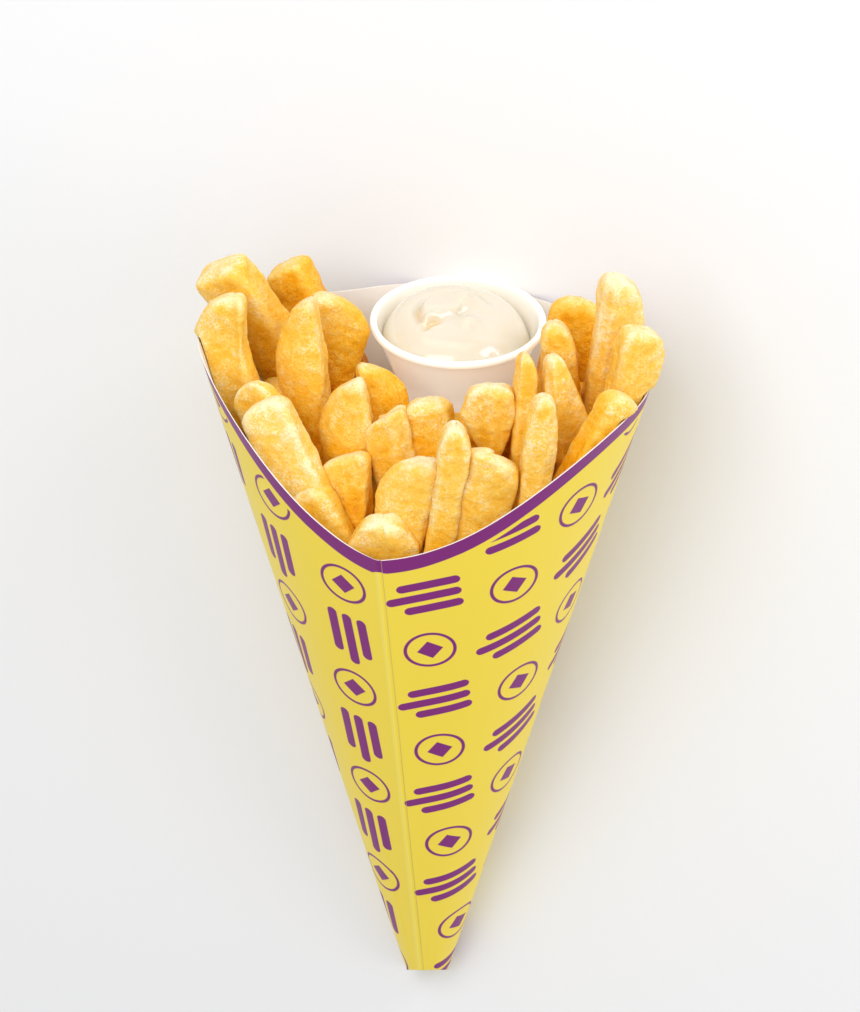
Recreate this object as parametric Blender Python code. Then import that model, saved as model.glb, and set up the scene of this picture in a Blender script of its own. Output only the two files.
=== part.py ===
"""French fries in a paperboard cone with a dip cup, lying on the cone's flat back.

The cone is worked out upright, its virtual apex at the origin and its axis along +Z, with the
front crease towards -Y. The finished solids are then laid down: mouth towards +Y, crease up.
Lengths are in millimetres until place() scales them to metres.
"""
import math
from dataclasses import dataclass

import bmesh
import bpy
import numpy as np

MM = 0.001
GAP = 0.3                      # clearance between neighbouring pieces

# cone board
SLOPE = 0.243                  # radius gained for each unit of height
CREASE_HALF = math.radians(19.0)   # half of the azimuth over which the two front panels are flat
BACK_HALF = math.radians(12.0)     # half of the azimuth over which the back is flat
BOARD = 0.6                    # board thickness
TIP_Z = 28.0                   # height of the blunt lower end
RIM_FRONT = 222.5              # rim height at the front crease
RIM_LEFT = 261.0               # highest point of the rim on the left
RIM_RIGHT = 253.0              # highest point of the rim on the right
RIM_BACK = 241.5               # rim height across the back
PEAK_LEFT = math.radians(68.0)
PEAK_RIGHT = math.radians(73.0)
BACK_FROM = math.radians(148.0)    # azimuth from which the rim runs level across the back
CONE_STEP = 6                  # degrees between the board's generators

# dip cup: outer radius and height above the cup's base, from the base up and over the lip
CUP_RIM_R = 25.0
CUP_RIM_Z = 246.0
CUP_HEIGHT = 27.0
CUP_BACK_GAP = 1.5             # from the lip to the cone's back wall, on the board's outside
CUP_OUTER = ((16.4, 0.0), (17.0, 0.8), (18.0, 10.0), (23.6, 24.6), (24.7, 24.9), (25.0, 25.6),
             (24.9, 26.5), (24.3, 27.0))
CUP_INNER = ((23.5, 26.9), (23.0, 26.0), (22.7, 24.6), (17.3, 10.3), (16.3, 1.6), (15.6, 0.9))
CUP_SIDES = 48

# sauce: contact ring, mound and the curl left by the spoon
SAUCE_DEPTH = 5.2              # contact ring below the lip
SAUCE_TILT = 0.05              # the level falls to the right by this share
SAUCE_DOME = 3.6               # rise of the middle over the contact ring
CURL_RISE = 0.9
CURL_START = 0.30              # radius of the curl over the cup's, growing as it winds
CURL_GROWTH = 0.11
CURL_WIDTH = 0.10
SAUCE_RINGS = 9
SAUCE_SIDES = 40

# the heap of fries below the ones that show
CORE_TOP = 210.0
ALLOWED_TOP = 300.0
OVERHANG = 16.0                # how far past the board a fry may reach above the rim


@dataclass(frozen=True)
class Fry:
    """One fry: its tip and foot (mm, upright cone), width, thickness, the azimuth its wide face
    turns to (degrees, 0 faces the crease), cut, distance from tip to widest point, tip slant."""

    tip: tuple
    foot: tuple
    width: float
    thick: float
    turn: float
    cut: str = "baton"
    belly: float = 20.0
    slant: float = 0.0


FRIES = (
    # left side, from the back wall round to the rim's low front
    Fry((-63, 0, 270), (-14, 9, 202), 18, 12, -15, slant=0.35),
    Fry((-48, 24, 261), (-29, 17, 202), 14, 12, -15, slant=0.35),
    Fry((-57, -10, 266), (-42, -14, 202), 18, 9, -30, slant=0.35),
    Fry((-36, -4, 268), (-22, -20, 202), 16, 11, 5, "left", 17, 0.2),
    Fry((-35, 12, 261), (-23, 4, 202), 18, 11, 10, "right", 18, -0.2),
    Fry((-46, -22, 248), (-28, -32, 202), 15, 8, -40, slant=0.4),
    Fry((-40, -31, 249), (-11, -42, 202), 18, 9, -30),
    Fry((-25, -43, 232), (-5, -44, 186), 15, 9, -15, slant=-0.1),
    # middle, in front of the cup
    Fry((-17, -4, 250), (-8, -19, 202), 17, 10, 20, "right", 12, -0.1),
    Fry((-17, -15, 249), (-15, -26, 202), 17, 11, 0, "left", 14, 0.1),
    Fry((-18, -28, 235), (-6, -40, 190), 16, 10, 0, "shard", 4, 0.1),
    Fry((-7, -20, 244), (2, -30, 198), 14, 11, 0, slant=0.25),
    Fry((2, -12, 246), (9, -24, 198), 14, 11, 10, slant=-0.2),
    Fry((6, -36, 242), (-2, -42, 192), 17, 10, 5, "left", 16, 0.1),
    Fry((-2, -48, 228), (3, -43, 184), 19, 11, 0, slant=-0.3),
    Fry((20, -13, 253), (17, -25, 201), 15, 11, 10, "shard", 12, 0),
    Fry((15, -36, 254), (11, -43, 202), 8, 9, 10),
    Fry((25, -34, 245), (19, -41, 197), 14, 9, 15, slant=-0.2),
    # right side
    Fry((29, -8, 262), (23, -26, 202), 9, 8, 20, "wedge", 12),
    Fry((38, -26, 260), (31, -37, 202), 8, 9, 20),
    Fry((37, -8, 264), (45, -21, 202), 18, 10, 25, "wedge", 26),
    Fry((33, 8, 264), (41, -5, 202), 13, 9, 15, "wedge", 24),
    Fry((36, 28, 260), (34, 17, 202), 16, 10, 10, slant=0.1),
    Fry((51, 14, 275), (41, -1, 202), 13, 11, 20, slant=-0.4),
    Fry((58, 0, 268), (42, -16, 202), 12, 11, 35, slant=-0.1),
    Fry((56, -16, 259), (35, -34, 202), 12, 9, 50),
)

# short fries deeper in the heap: tip only, their feet all lie towards the apex
DEEP_FRIES = (
    (-31, -20, 228), (-40, 8, 240), (-22, 2, 232), (-10, -38, 221), (8, -26, 228), (9, -4, 236),
    (29, -24, 230), (46, -6, 240), (40, 14, 240), (22, 0, 236), (-12, 26, 222), (12, 26, 222),
    (0, 42, 222), (0, 12, 224), (2, -40, 214),
)
DEEP_LENGTH = 0.2              # share of the tip's height that a deep fry is long
DEEP_WIDTH = 14.0
DEEP_THICK = 12.0
DEEP_SLANT = 0.2
DEEP_TURN = 20.0               # degrees either way

# how every fry is shaped
SQUARE_POWER = 0.55            # section of a baton; 1 would be an ellipse, 0 a box
ROUND_POWER = 0.7              # section of the other cuts
BLUNT_END = 0.32               # length of the rounded end over the width, batons and shards
ROUND_END = 0.22               # the same for slices and wedges
END_POWER = 2.4
END_SHARE = 0.03               # size of the very last ring
SLICE_THINNING = 0.35          # how much thinner a half slice is at its edges
LUMP = 0.25
LUMP_PERIOD = 9.0
FINE_LUMP = 0.15
FINE_PERIOD = 5.5
FRY_GRID = (7, 10)             # rings and sides of a fry that shows
DEEP_GRID = (4, 8)
WELD = 0.02


def section_factor(azimuth):
    """Polar radius of the cone's section over its round radius, at an azimuth from the crease."""
    away = np.abs(azimuth)
    factor = 1.0 / np.cos(np.maximum(0.0, CREASE_HALF - away))
    behind = np.pi - away
    return np.where(behind < BACK_HALF, math.cos(BACK_HALF) / np.cos(behind), factor)


def rim_height(azimuth):
    """Height of the rim: low at the crease, a rounded peak each side, level across the back."""
    away = np.abs(azimuth)
    top = np.where(azimuth < 0, RIM_LEFT, RIM_RIGHT)
    peak = np.where(azimuth < 0, PEAK_LEFT, PEAK_RIGHT)
    rise = top - (top - RIM_FRONT) * (1 + np.cos(np.pi * np.minimum(away, peak) / peak)) / 2
    share = np.clip((away - peak) / (BACK_FROM - peak), 0, 1)
    fall = top - (top - RIM_BACK) * (1 - np.cos(np.pi * share)) / 2
    return np.where(away < peak, rise, fall)


def on_cone(azimuth, height, inset):
    """Points at the given heights on the cone's outside moved inwards by inset."""
    radius = (SLOPE * height - inset) * section_factor(azimuth)
    return np.stack([radius * np.sin(azimuth), -radius * np.cos(azimuth), height], axis=-1)


def azimuths():
    """Azimuths of the board's generators, with the crease and the flat's edges among them."""
    return np.radians(np.arange(-180.0, 180.0, CONE_STEP))


def loft(rings):
    """Vertices and faces of a closed solid through rings of equal length, with capped ends."""
    count = len(rings[0])
    faces = []
    for layer in range(len(rings) - 1):
        low = layer * count
        high = low + count
        for side in range(count):
            turn = (side + 1) % count
            faces.append((low + side, low + turn, high + turn, high + side))
    faces.append(tuple(range(count - 1, -1, -1)))
    faces.append(tuple(range((len(rings) - 1) * count, len(rings) * count)))
    return np.concatenate(rings), faces


def new_object(name, verts, faces):
    """A mesh object in millimetres with its faces turned outwards."""
    mesh = bpy.data.meshes.new(name)
    mesh.from_pydata([tuple(map(float, point)) for point in verts], [], faces)
    shape = bmesh.new()
    shape.from_mesh(mesh)
    bmesh.ops.recalc_face_normals(shape, faces=shape.faces)
    bmesh.ops.triangulate(shape, faces=shape.faces)
    shape.to_mesh(mesh)
    shape.free()
    thing = bpy.data.objects.new(name, mesh)
    bpy.context.collection.objects.link(thing)
    return thing


def combine(target, other, operation):
    """Apply one exact Boolean of target with other and drop the other piece."""
    step = target.modifiers.new("join", "BOOLEAN")
    step.operation = operation
    step.solver = "EXACT"
    step.object = other
    graph = bpy.context.evaluated_depsgraph_get()
    result = bpy.data.meshes.new_from_object(target.evaluated_get(graph))
    target.modifiers.clear()
    old = target.data
    target.data = result
    bpy.data.meshes.remove(old)
    bpy.data.objects.remove(other, do_unlink=True)


def build_cone():
    """The rolled board: a thin shell with a crease in front, a flat back and a blunt end."""
    turns = azimuths()
    rim = rim_height(turns)
    low = np.full_like(turns, TIP_Z)
    floor = np.full_like(turns, TIP_Z + BOARD)
    rings = [on_cone(turns, low, 0.0), on_cone(turns, rim, 0.0), on_cone(turns, rim, BOARD),
             on_cone(turns, floor, BOARD)]
    verts, faces = loft(rings)
    return new_object("cone_board", verts, faces)


def half_width(fry, along, length, side):
    """Half width of a fry as a share of its width, on one side, at distances from its tip.

    A baton keeps its width. A half slice is round on its named side, widest at its belly, and
    nearly straight on the other. A wedge widens from its tip to its belly. A shard narrows from
    its belly to its foot.
    """
    before = np.clip(along / fry.belly, 0, 1)
    beyond = np.clip((along - fry.belly) / (length - fry.belly), 0, 1)
    if fry.cut in ("left", "right"):
        round_side = -1 if fry.cut == "left" else 1
        rise = np.sqrt(1 - (1 - before) ** 2)
        bulge = 0.10 + 0.56 * np.where(along < fry.belly, rise, 1 - 0.55 * beyond ** 2)
        return np.where(side * round_side > 0, bulge, 0.20 + 0.14 * before)
    if fry.cut == "wedge":
        return 0.16 + 0.34 * before ** 0.8
    if fry.cut == "shard":
        return 0.5 - 0.34 * beyond ** 1.1
    return np.full_like(along, 0.5)


def fry_rings(fry, seed, layers, sides):
    """Rings of points round a fry, from its tip to its foot.

    Each ring is a rounded box: cosine and sine raised to a power below one. The rings close in
    at both ends, lean by the tip's slant, and swell and sink a little along the fry.
    """
    tip = np.array(fry.tip, float)
    axis = tip - np.array(fry.foot, float)
    length = float(np.linalg.norm(axis))
    axis /= length
    turn = math.radians(fry.turn)
    facing = np.array([math.sin(turn), -math.cos(turn), 0.0])
    facing -= axis * float(facing @ axis)
    facing /= np.linalg.norm(facing)
    across = np.cross(axis, facing)
    if across[0] * math.cos(turn) + across[1] * math.sin(turn) < 0:
        across = -across
    along = (length * (1 - np.cos(np.linspace(0, np.pi, layers + 1))) / 2)[:, None]
    angle = np.linspace(0, 2 * np.pi, sides, endpoint=False)[None, :]
    cos_a, sin_a = np.cos(angle), np.sin(angle)
    power = SQUARE_POWER if fry.cut == "baton" else ROUND_POWER
    wide = np.sign(cos_a) * np.abs(cos_a) ** power
    deep = np.sign(sin_a) * np.abs(sin_a) ** power
    side = np.where(cos_a < 0, -1, 1)
    half = half_width(fry, along, length, side) * fry.width
    rounding = (BLUNT_END if fry.cut in ("baton", "shard") else ROUND_END) * fry.width
    near = np.clip(np.minimum(along, length - along) / rounding, 0, 1)
    cap = np.maximum((1 - (1 - near) ** END_POWER) ** (1 / END_POWER), END_SHARE)
    thin = 1 - SLICE_THINNING * cos_a ** 2 * (fry.cut in ("left", "right"))
    phase = np.random.default_rng(seed).uniform(0, 2 * np.pi, 2)
    lump = LUMP * np.sin(along / LUMP_PERIOD + phase[0] + angle)
    lump = lump + FINE_LUMP * np.sin(along / FINE_PERIOD + phase[1] - 2 * angle)
    offset_x = wide * (half + lump) * cap
    offset_y = deep * (fry.thick / 2 * thin + 0.6 * lump) * cap
    shear = fry.slant * offset_x * np.exp(-(along / fry.width) ** 2)
    points = tip + across * offset_x[..., None] + facing * offset_y[..., None]
    points = points + axis * (shear - along)[..., None]
    return list(points)


def allowed_space():
    """Where the heap may be: inside the board with a gap, and over the rim above it."""
    turns = azimuths()
    rim = rim_height(turns) + GAP
    inset = BOARD + GAP
    low = np.full_like(turns, TIP_Z + BOARD + GAP)
    top = np.full_like(turns, ALLOWED_TOP)
    rings = [on_cone(turns, low, inset), on_cone(turns, rim, inset),
             on_cone(turns, rim, -OVERHANG), on_cone(turns, top, -OVERHANG)]
    verts, faces = loft(rings)
    return new_object("allowed", verts, faces)


def cup_centre():
    """Where the cup's axis stands: behind the middle, its lip close to the back wall."""
    back = SLOPE * math.cos(BACK_HALF) * CUP_RIM_Z
    return np.array([0.0, back - CUP_BACK_GAP - CUP_RIM_R, CUP_RIM_Z - CUP_HEIGHT])


def revolve(profile, sides, centre):
    """Rings of a turned shape from (radius, height) pairs."""
    turns = np.linspace(0, 2 * np.pi, sides, endpoint=False)
    ring = np.stack([np.cos(turns), np.sin(turns)], axis=-1)
    rings = []
    for radius, height in profile:
        level = np.full((sides, 1), height)
        rings.append(centre + np.concatenate([ring * radius, level], axis=1))
    return rings


def build_cup():
    """The thin plastic cup with its rolled lip and its straight foot."""
    verts, faces = loft(revolve(CUP_OUTER + CUP_INNER, CUP_SIDES, cup_centre()))
    return new_object("sauce_cup", verts, faces)


def cup_room():
    """The cup's outline with a gap round it, open upwards, to keep the fries clear of it."""
    high = ALLOWED_TOP - (CUP_RIM_Z - CUP_HEIGHT)
    profile = [(CUP_OUTER[0][0] + GAP, -GAP)]
    profile += [(radius + GAP, height) for radius, height in CUP_OUTER[1:4]]
    profile += [(CUP_RIM_R + 2 * GAP, CUP_OUTER[4][1] - GAP), (CUP_RIM_R + 2 * GAP, high)]
    verts, faces = loft(revolve(profile, CUP_SIDES, cup_centre()))
    return new_object("cup_room", verts, faces)


def build_fries():
    """The bundle: every fry that shows, the deep ones and the heap below, as one solid."""
    turns = azimuths()
    inset = BOARD + GAP
    low = np.full_like(turns, TIP_Z + BOARD + GAP)
    top = np.full_like(turns, CORE_TOP)
    verts, faces = loft([on_cone(turns, low, inset), on_cone(turns, top, inset)])
    bundle = new_object("fries", verts, faces)
    pieces = [(fry, FRY_GRID) for fry in FRIES]
    for tip in DEEP_FRIES:
        foot = tuple(value * (1 - DEEP_LENGTH) for value in tip)
        turn = DEEP_TURN * math.sin(tip[0])
        fry = Fry(tip, foot, DEEP_WIDTH, DEEP_THICK, turn, slant=DEEP_SLANT)
        pieces.append((fry, DEEP_GRID))
    for seed, (fry, grid) in enumerate(pieces):
        verts, faces = loft(fry_rings(fry, seed, *grid))
        combine(bundle, new_object("fry", verts, faces), "UNION")
    combine(bundle, allowed_space(), "INTERSECT")
    combine(bundle, cup_room(), "DIFFERENCE")
    keep_largest(bundle)
    return bundle


def keep_largest(thing):
    """Weld, then drop every shell but the one with the most faces (pockets and crumbs)."""
    shape = bmesh.new()
    shape.from_mesh(thing.data)
    bmesh.ops.remove_doubles(shape, verts=shape.verts, dist=WELD)
    bmesh.ops.dissolve_degenerate(shape, edges=shape.edges, dist=WELD / 2)
    bmesh.ops.triangulate(shape, faces=shape.faces)
    shape.faces.ensure_lookup_table()
    seen = set()
    shells = []
    for start in shape.faces:
        if start.index in seen:
            continue
        seen.add(start.index)
        shell = [start]
        for face in shell:
            for edge in face.edges:
                for near in edge.link_faces:
                    if near.index not in seen:
                        seen.add(near.index)
                        shell.append(near)
        shells.append(shell)
    largest = max(shells, key=len)
    spare = [face for shell in shells if shell is not largest for face in shell]
    bmesh.ops.delete(shape, geom=spare, context="FACES")
    bmesh.ops.recalc_face_normals(shape, faces=shape.faces)
    shape.to_mesh(thing.data)
    shape.free()


def sauce_height(x, y):
    """Height of the sauce over its contact ring: a mound with a curl of the spoon in it."""
    radius = np.hypot(x, y) / CUP_INNER[2][0]
    mound = SAUCE_DOME * (1 - radius ** 2)
    turn = np.arctan2(y, x)
    winding = CURL_START + CURL_GROWTH * (turn + np.pi) / np.pi
    ridge = CURL_RISE * np.exp(-((radius - winding) / CURL_WIDTH) ** 2)
    return mound + ridge - SAUCE_TILT * x


def build_sauce():
    """The sauce: it fills the cup up to its level, with a gap to the wall."""
    centre = cup_centre()
    level = CUP_HEIGHT - SAUCE_DEPTH
    radii = [radius - GAP for radius, _ in CUP_INNER[::-1][:4]]
    heights = [height for _, height in CUP_INNER[::-1][:4]]
    heights[0] += GAP
    walls = list(zip(radii[:3], heights[:3]))
    rings = revolve(walls, SAUCE_SIDES, centre)
    turns = np.linspace(0, 2 * np.pi, SAUCE_SIDES, endpoint=False)
    ease = -SAUCE_TILT * float(np.interp(level, heights, radii)) * np.cos(turns)
    contact = np.interp(level + ease, heights, radii)
    for step in range(SAUCE_RINGS):
        share = 1 - step / SAUCE_RINGS
        x, y = contact * share * np.cos(turns), contact * share * np.sin(turns)
        edge = 1 - share ** 8
        rise = sauce_height(x, y) * edge + (1 - edge) * ease
        rings.append(centre + np.stack([x, y, level + rise], axis=-1))
    verts, faces = loft(rings)
    return new_object("sauce", verts, faces)


def place(things):
    """Lay the cone on its flat back, scale to metres and centre it on the floor."""
    lean = math.atan(SLOPE * math.cos(BACK_HALF))
    sin_l, cos_l = math.sin(lean), math.cos(lean)
    laid = []
    for thing in things:
        verts = np.empty(len(thing.data.vertices) * 3)
        thing.data.vertices.foreach_get("co", verts)
        x, y, z = verts.reshape(-1, 3).T
        laid.append(np.stack([x, y * sin_l + z * cos_l, z * sin_l - y * cos_l], axis=-1) * MM)
    every = np.concatenate(laid)
    low, high = every.min(axis=0), every.max(axis=0)
    shift = np.array([(low[0] + high[0]) / 2, (low[1] + high[1]) / 2, low[2]])
    for thing, points in zip(things, laid):
        thing.data.vertices.foreach_set("co", (points - shift).ravel())
        thing.data.update()


def give_material(thing, slot, colour, roughness):
    """One Principled material of its own for a piece."""
    material = bpy.data.materials.new(slot)
    material.use_nodes = True
    surface = material.node_tree.nodes["Principled BSDF"]
    surface.inputs["Base Color"].default_value = (*colour, 1.0)
    surface.inputs["Roughness"].default_value = roughness
    thing.data.materials.clear()
    thing.data.materials.append(material)


def shade(thing, angle):
    """Smooth shading that keeps edges sharper than the given angle."""
    thing.data.polygons.foreach_set("use_smooth", [True] * len(thing.data.polygons))
    shape = bmesh.new()
    shape.from_mesh(thing.data)
    for edge in shape.edges:
        edge.smooth = edge.calc_face_angle(0.0) < math.radians(angle)
    shape.to_mesh(thing.data)
    shape.free()


def main():
    """Build the cone, its fries, the cup and the sauce."""
    for thing in list(bpy.data.objects):
        bpy.data.objects.remove(thing, do_unlink=True)
    cone = build_cone()
    fries = build_fries()
    cup = build_cup()
    sauce = build_sauce()
    place([cone, fries, cup, sauce])
    give_material(cone, "printed_board", (0.88, 0.66, 0.07), 0.35)
    give_material(fries, "fried_potato", (0.86, 0.50, 0.09), 0.6)
    give_material(cup, "cup_plastic", (0.90, 0.89, 0.86), 0.25)
    give_material(sauce, "creamy_sauce", (0.88, 0.78, 0.56), 0.2)
    for thing, angle in ((cone, 12), (fries, 40), (cup, 35), (sauce, 60)):
        shade(thing, angle)


main()
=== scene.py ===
"""French fries in a paperboard cone with a dip cup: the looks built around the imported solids.

Shapes are worked out in millimetres in an upright frame: the cone's virtual apex at the origin,
its axis along +Z and its front crease towards -Y. LaidCone.lay() turns them onto the cone's flat
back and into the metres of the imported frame.
"""
from __future__ import annotations

import itertools
import logging
import math
from dataclasses import dataclass, field
from enum import Enum

import bpy
import numpy as np
from mathutils import Matrix, Vector


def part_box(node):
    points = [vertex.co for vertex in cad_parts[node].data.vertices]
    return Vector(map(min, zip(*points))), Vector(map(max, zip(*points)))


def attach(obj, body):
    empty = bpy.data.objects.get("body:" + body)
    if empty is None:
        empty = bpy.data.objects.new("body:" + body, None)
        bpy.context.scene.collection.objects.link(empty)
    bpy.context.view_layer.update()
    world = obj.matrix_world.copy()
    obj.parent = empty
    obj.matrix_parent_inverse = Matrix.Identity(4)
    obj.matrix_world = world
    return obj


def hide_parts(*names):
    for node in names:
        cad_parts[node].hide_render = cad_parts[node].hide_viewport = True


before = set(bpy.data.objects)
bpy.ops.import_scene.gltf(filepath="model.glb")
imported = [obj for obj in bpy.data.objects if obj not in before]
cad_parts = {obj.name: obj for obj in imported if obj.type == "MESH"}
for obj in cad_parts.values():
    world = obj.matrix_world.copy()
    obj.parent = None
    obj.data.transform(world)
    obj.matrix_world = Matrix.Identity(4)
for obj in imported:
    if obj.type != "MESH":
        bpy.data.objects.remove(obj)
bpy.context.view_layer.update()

LOG = logging.getLogger("fries_in_a_cone")
MM = 0.001


class Cut(Enum):
    """How a fry was cut from the potato: the name of the piece that holds its kind."""

    BATON = "fries_batons"
    PLANK = "fries_planks"
    SLICE = "fries_half_slices"
    WEDGE = "fries_wedges"


# ---------------------------------------------------------------- numbers and meshes


def linear(code: str) -> tuple[float, float, float, float]:
    """Linear RGBA of an sRGB hex colour.

    Args:
        code: six hex digits.

    Returns:
        The four channel values that a shader socket takes.
    """
    values = [int(code[i:i + 2], 16) / 255 for i in (0, 2, 4)]
    lit = [v / 12.92 if v <= 0.04045 else ((v + 0.055) / 1.055) ** 2.4 for v in values]
    return (*lit, 1.0)


def hashed(cells: np.ndarray, seed: int) -> np.ndarray:
    """A steady pseudo-random value from 0 to 1 for each integer cell.

    Args:
        cells: whole numbers, three to a row.
        seed: which of the endless patterns to take.

    Returns:
        One value for each row.
    """
    wrap = cells.astype(np.uint64)
    mixed = wrap[..., 0] * np.uint64(73856093) ^ wrap[..., 1] * np.uint64(19349663)
    mixed = mixed ^ wrap[..., 2] * np.uint64(83492791) ^ np.uint64(seed * 2654435761)
    mixed = (mixed ^ (mixed >> np.uint64(13))) * np.uint64(1274126177)
    mixed = mixed ^ (mixed >> np.uint64(16))
    return (mixed & np.uint64(0xFFFFF)).astype(float) / 0xFFFFF


def value_noise(points: np.ndarray, size: float, seed: int) -> np.ndarray:
    """Smooth noise from -1 to 1: random values at the corners of a grid of cubes, blended.

    Args:
        points: positions in millimetres, three to a row.
        size: edge of a cube in millimetres.
        seed: which pattern to take.

    Returns:
        One value for each point.
    """
    scaled = points / size
    corner = np.floor(scaled)
    part = scaled - corner
    part = part * part * (3 - 2 * part)
    corner = corner.astype(np.int64)
    total = np.zeros(points.shape[:-1])
    for step in itertools.product((0, 1), repeat=3):
        pick = np.array(step)
        weight = np.prod(np.where(pick == 1, part, 1 - part), axis=-1)
        total = total + weight * hashed(corner + pick, seed)
    return total * 2 - 1


def smooth_step(value: np.ndarray) -> np.ndarray:
    """Eases from 0 to 1 as the value goes from 0 to 1: three squares less two cubes."""
    clipped = np.clip(value, 0, 1)
    return clipped * clipped * (3 - 2 * clipped)


@dataclass
class Shell:
    """A closed surface: points, four-sided and three-sided faces, and values at the points."""

    points: np.ndarray
    quads: np.ndarray
    tris: np.ndarray
    values: dict[str, np.ndarray] = field(default_factory=dict)
    quad_slots: np.ndarray | None = None
    tri_slots: np.ndarray | None = None
    quad_uv: np.ndarray | None = None
    tri_uv: np.ndarray | None = None

    def outward(self) -> "Shell":
        """Turn all the faces over if the volume that they enclose comes out negative."""
        fans = np.concatenate([self.quads[:, :3], self.quads[:, [0, 2, 3]], self.tris])
        a, b, c = (self.points[fans[:, k]] for k in range(3))
        if np.einsum("ij,ij->i", a, np.cross(b, c)).sum() < 0:
            self.quads = self.quads[:, ::-1]
            self.tris = self.tris[:, ::-1]
            if self.quad_uv is not None:
                self.quad_uv = self.quad_uv[:, ::-1]
                self.tri_uv = self.tri_uv[:, ::-1]
        return self


def tube(rings: np.ndarray, values: dict[str, np.ndarray] | None = None) -> Shell:
    """A closed surface over a grid of points: rings one after another, a pole at each end.

    Args:
        rings: grid of points, ring by ring, each ring running once round.
        values: numbers on the same grid.

    Returns:
        The shell; the poles are the mean of the first and of the last ring.
    """
    layers, sides = rings.shape[:2]
    index = np.arange(layers * sides).reshape(layers, sides)
    after = np.roll(index, -1, axis=1)
    quads = np.stack([index[:-1], after[:-1], after[1:], index[1:]], axis=-1).reshape(-1, 4)
    start, end = layers * sides, layers * sides + 1
    first = np.stack([after[0], index[0], np.full(sides, start)], axis=-1)
    last = np.stack([index[-1], after[-1], np.full(sides, end)], axis=-1)
    poles = np.stack([rings[0].mean(axis=0), rings[-1].mean(axis=0)])
    points = np.concatenate([rings.reshape(-1, 3), poles])
    kept = {}
    for name, grid in (values or {}).items():
        full = np.broadcast_to(grid, (layers, sides))
        kept[name] = np.concatenate([full.ravel(), [full[0].mean(), full[-1].mean()]])
    return Shell(points, quads, np.concatenate([first, last]), kept)


def joined(shells: list[Shell]) -> Shell:
    """Several shells as one list of points and faces, each still closed by itself."""
    shift = np.cumsum([0] + [len(shell.points) for shell in shells[:-1]])
    names = shells[0].values
    return Shell(
        np.concatenate([shell.points for shell in shells]),
        np.concatenate([shell.quads + by for shell, by in zip(shells, shift)]),
        np.concatenate([shell.tris + by for shell, by in zip(shells, shift)]),
        {name: np.concatenate([shell.values[name] for shell in shells]) for name in names},
    )


def make_piece(name: str, shell: Shell, materials: list[bpy.types.Material]) -> bpy.types.Object:
    """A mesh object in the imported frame's metres, at the origin, shaded smooth.

    Args:
        name: the piece's name.
        shell: its surface, already laid down and in metres.
        materials: its finishes, in the order of the shell's slots.

    Returns:
        The new object, linked to the scene.
    """
    mesh = bpy.data.meshes.new(name)
    corners = np.concatenate([shell.quads.ravel(), shell.tris.ravel()])
    quad_count, tri_count = len(shell.quads), len(shell.tris)
    starts = np.concatenate([np.arange(quad_count) * 4, quad_count * 4 + np.arange(tri_count) * 3])
    mesh.vertices.add(len(shell.points))
    mesh.vertices.foreach_set("co", shell.points.astype(np.float32).ravel())
    mesh.loops.add(len(corners))
    mesh.loops.foreach_set("vertex_index", corners.astype(np.int32))
    mesh.polygons.add(len(starts))
    mesh.polygons.foreach_set("loop_start", starts.astype(np.int32))
    mesh.polygons.foreach_set("use_smooth", np.ones(len(starts), dtype=bool))
    if shell.quad_slots is not None:
        slots = np.concatenate([shell.quad_slots, shell.tri_slots])
        mesh.polygons.foreach_set("material_index", slots.astype(np.int32))
    mesh.update(calc_edges=True)
    for label, numbers in shell.values.items():
        layer = mesh.attributes.new(label, "FLOAT", "POINT")
        layer.data.foreach_set("value", numbers.astype(np.float32))
    if shell.quad_uv is not None:
        sheet = mesh.uv_layers.new(name="sheet")
        both = np.concatenate([shell.quad_uv.reshape(-1, 2), shell.tri_uv.reshape(-1, 2)])
        sheet.data.foreach_set("uv", both.astype(np.float32).ravel())
    for material in materials:
        mesh.materials.append(material)
    piece = bpy.data.objects.new(name, mesh)
    bpy.context.scene.collection.objects.link(piece)
    LOG.info("%s: %d triangles", name, 2 * quad_count + tri_count)
    return piece


# ---------------------------------------------------------------- materials


def add(tree: bpy.types.NodeTree, kind: str, links: dict | None = None, **settings):
    """Add one node with its settings, its socket values and its links.

    Args:
        tree: the material's or world's node tree.
        kind: the node's type name.
        links: for each input, by name or by number, a socket to link or a value to set.
        settings: the node's own properties.

    Returns:
        The new node.
    """
    node = tree.nodes.new(kind)
    for name, value in settings.items():
        setattr(node, name, value)
    for key, value in (links or {}).items():
        if isinstance(value, bpy.types.NodeSocket):
            tree.links.new(value, node.inputs[key])
        else:
            node.inputs[key].default_value = value
    return node


def blank(name: str) -> tuple[bpy.types.Material, bpy.types.NodeTree]:
    """A material with an empty node tree."""
    material = bpy.data.materials.new(name)
    material.use_nodes = True
    material.node_tree.nodes.clear()
    return material, material.node_tree


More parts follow.
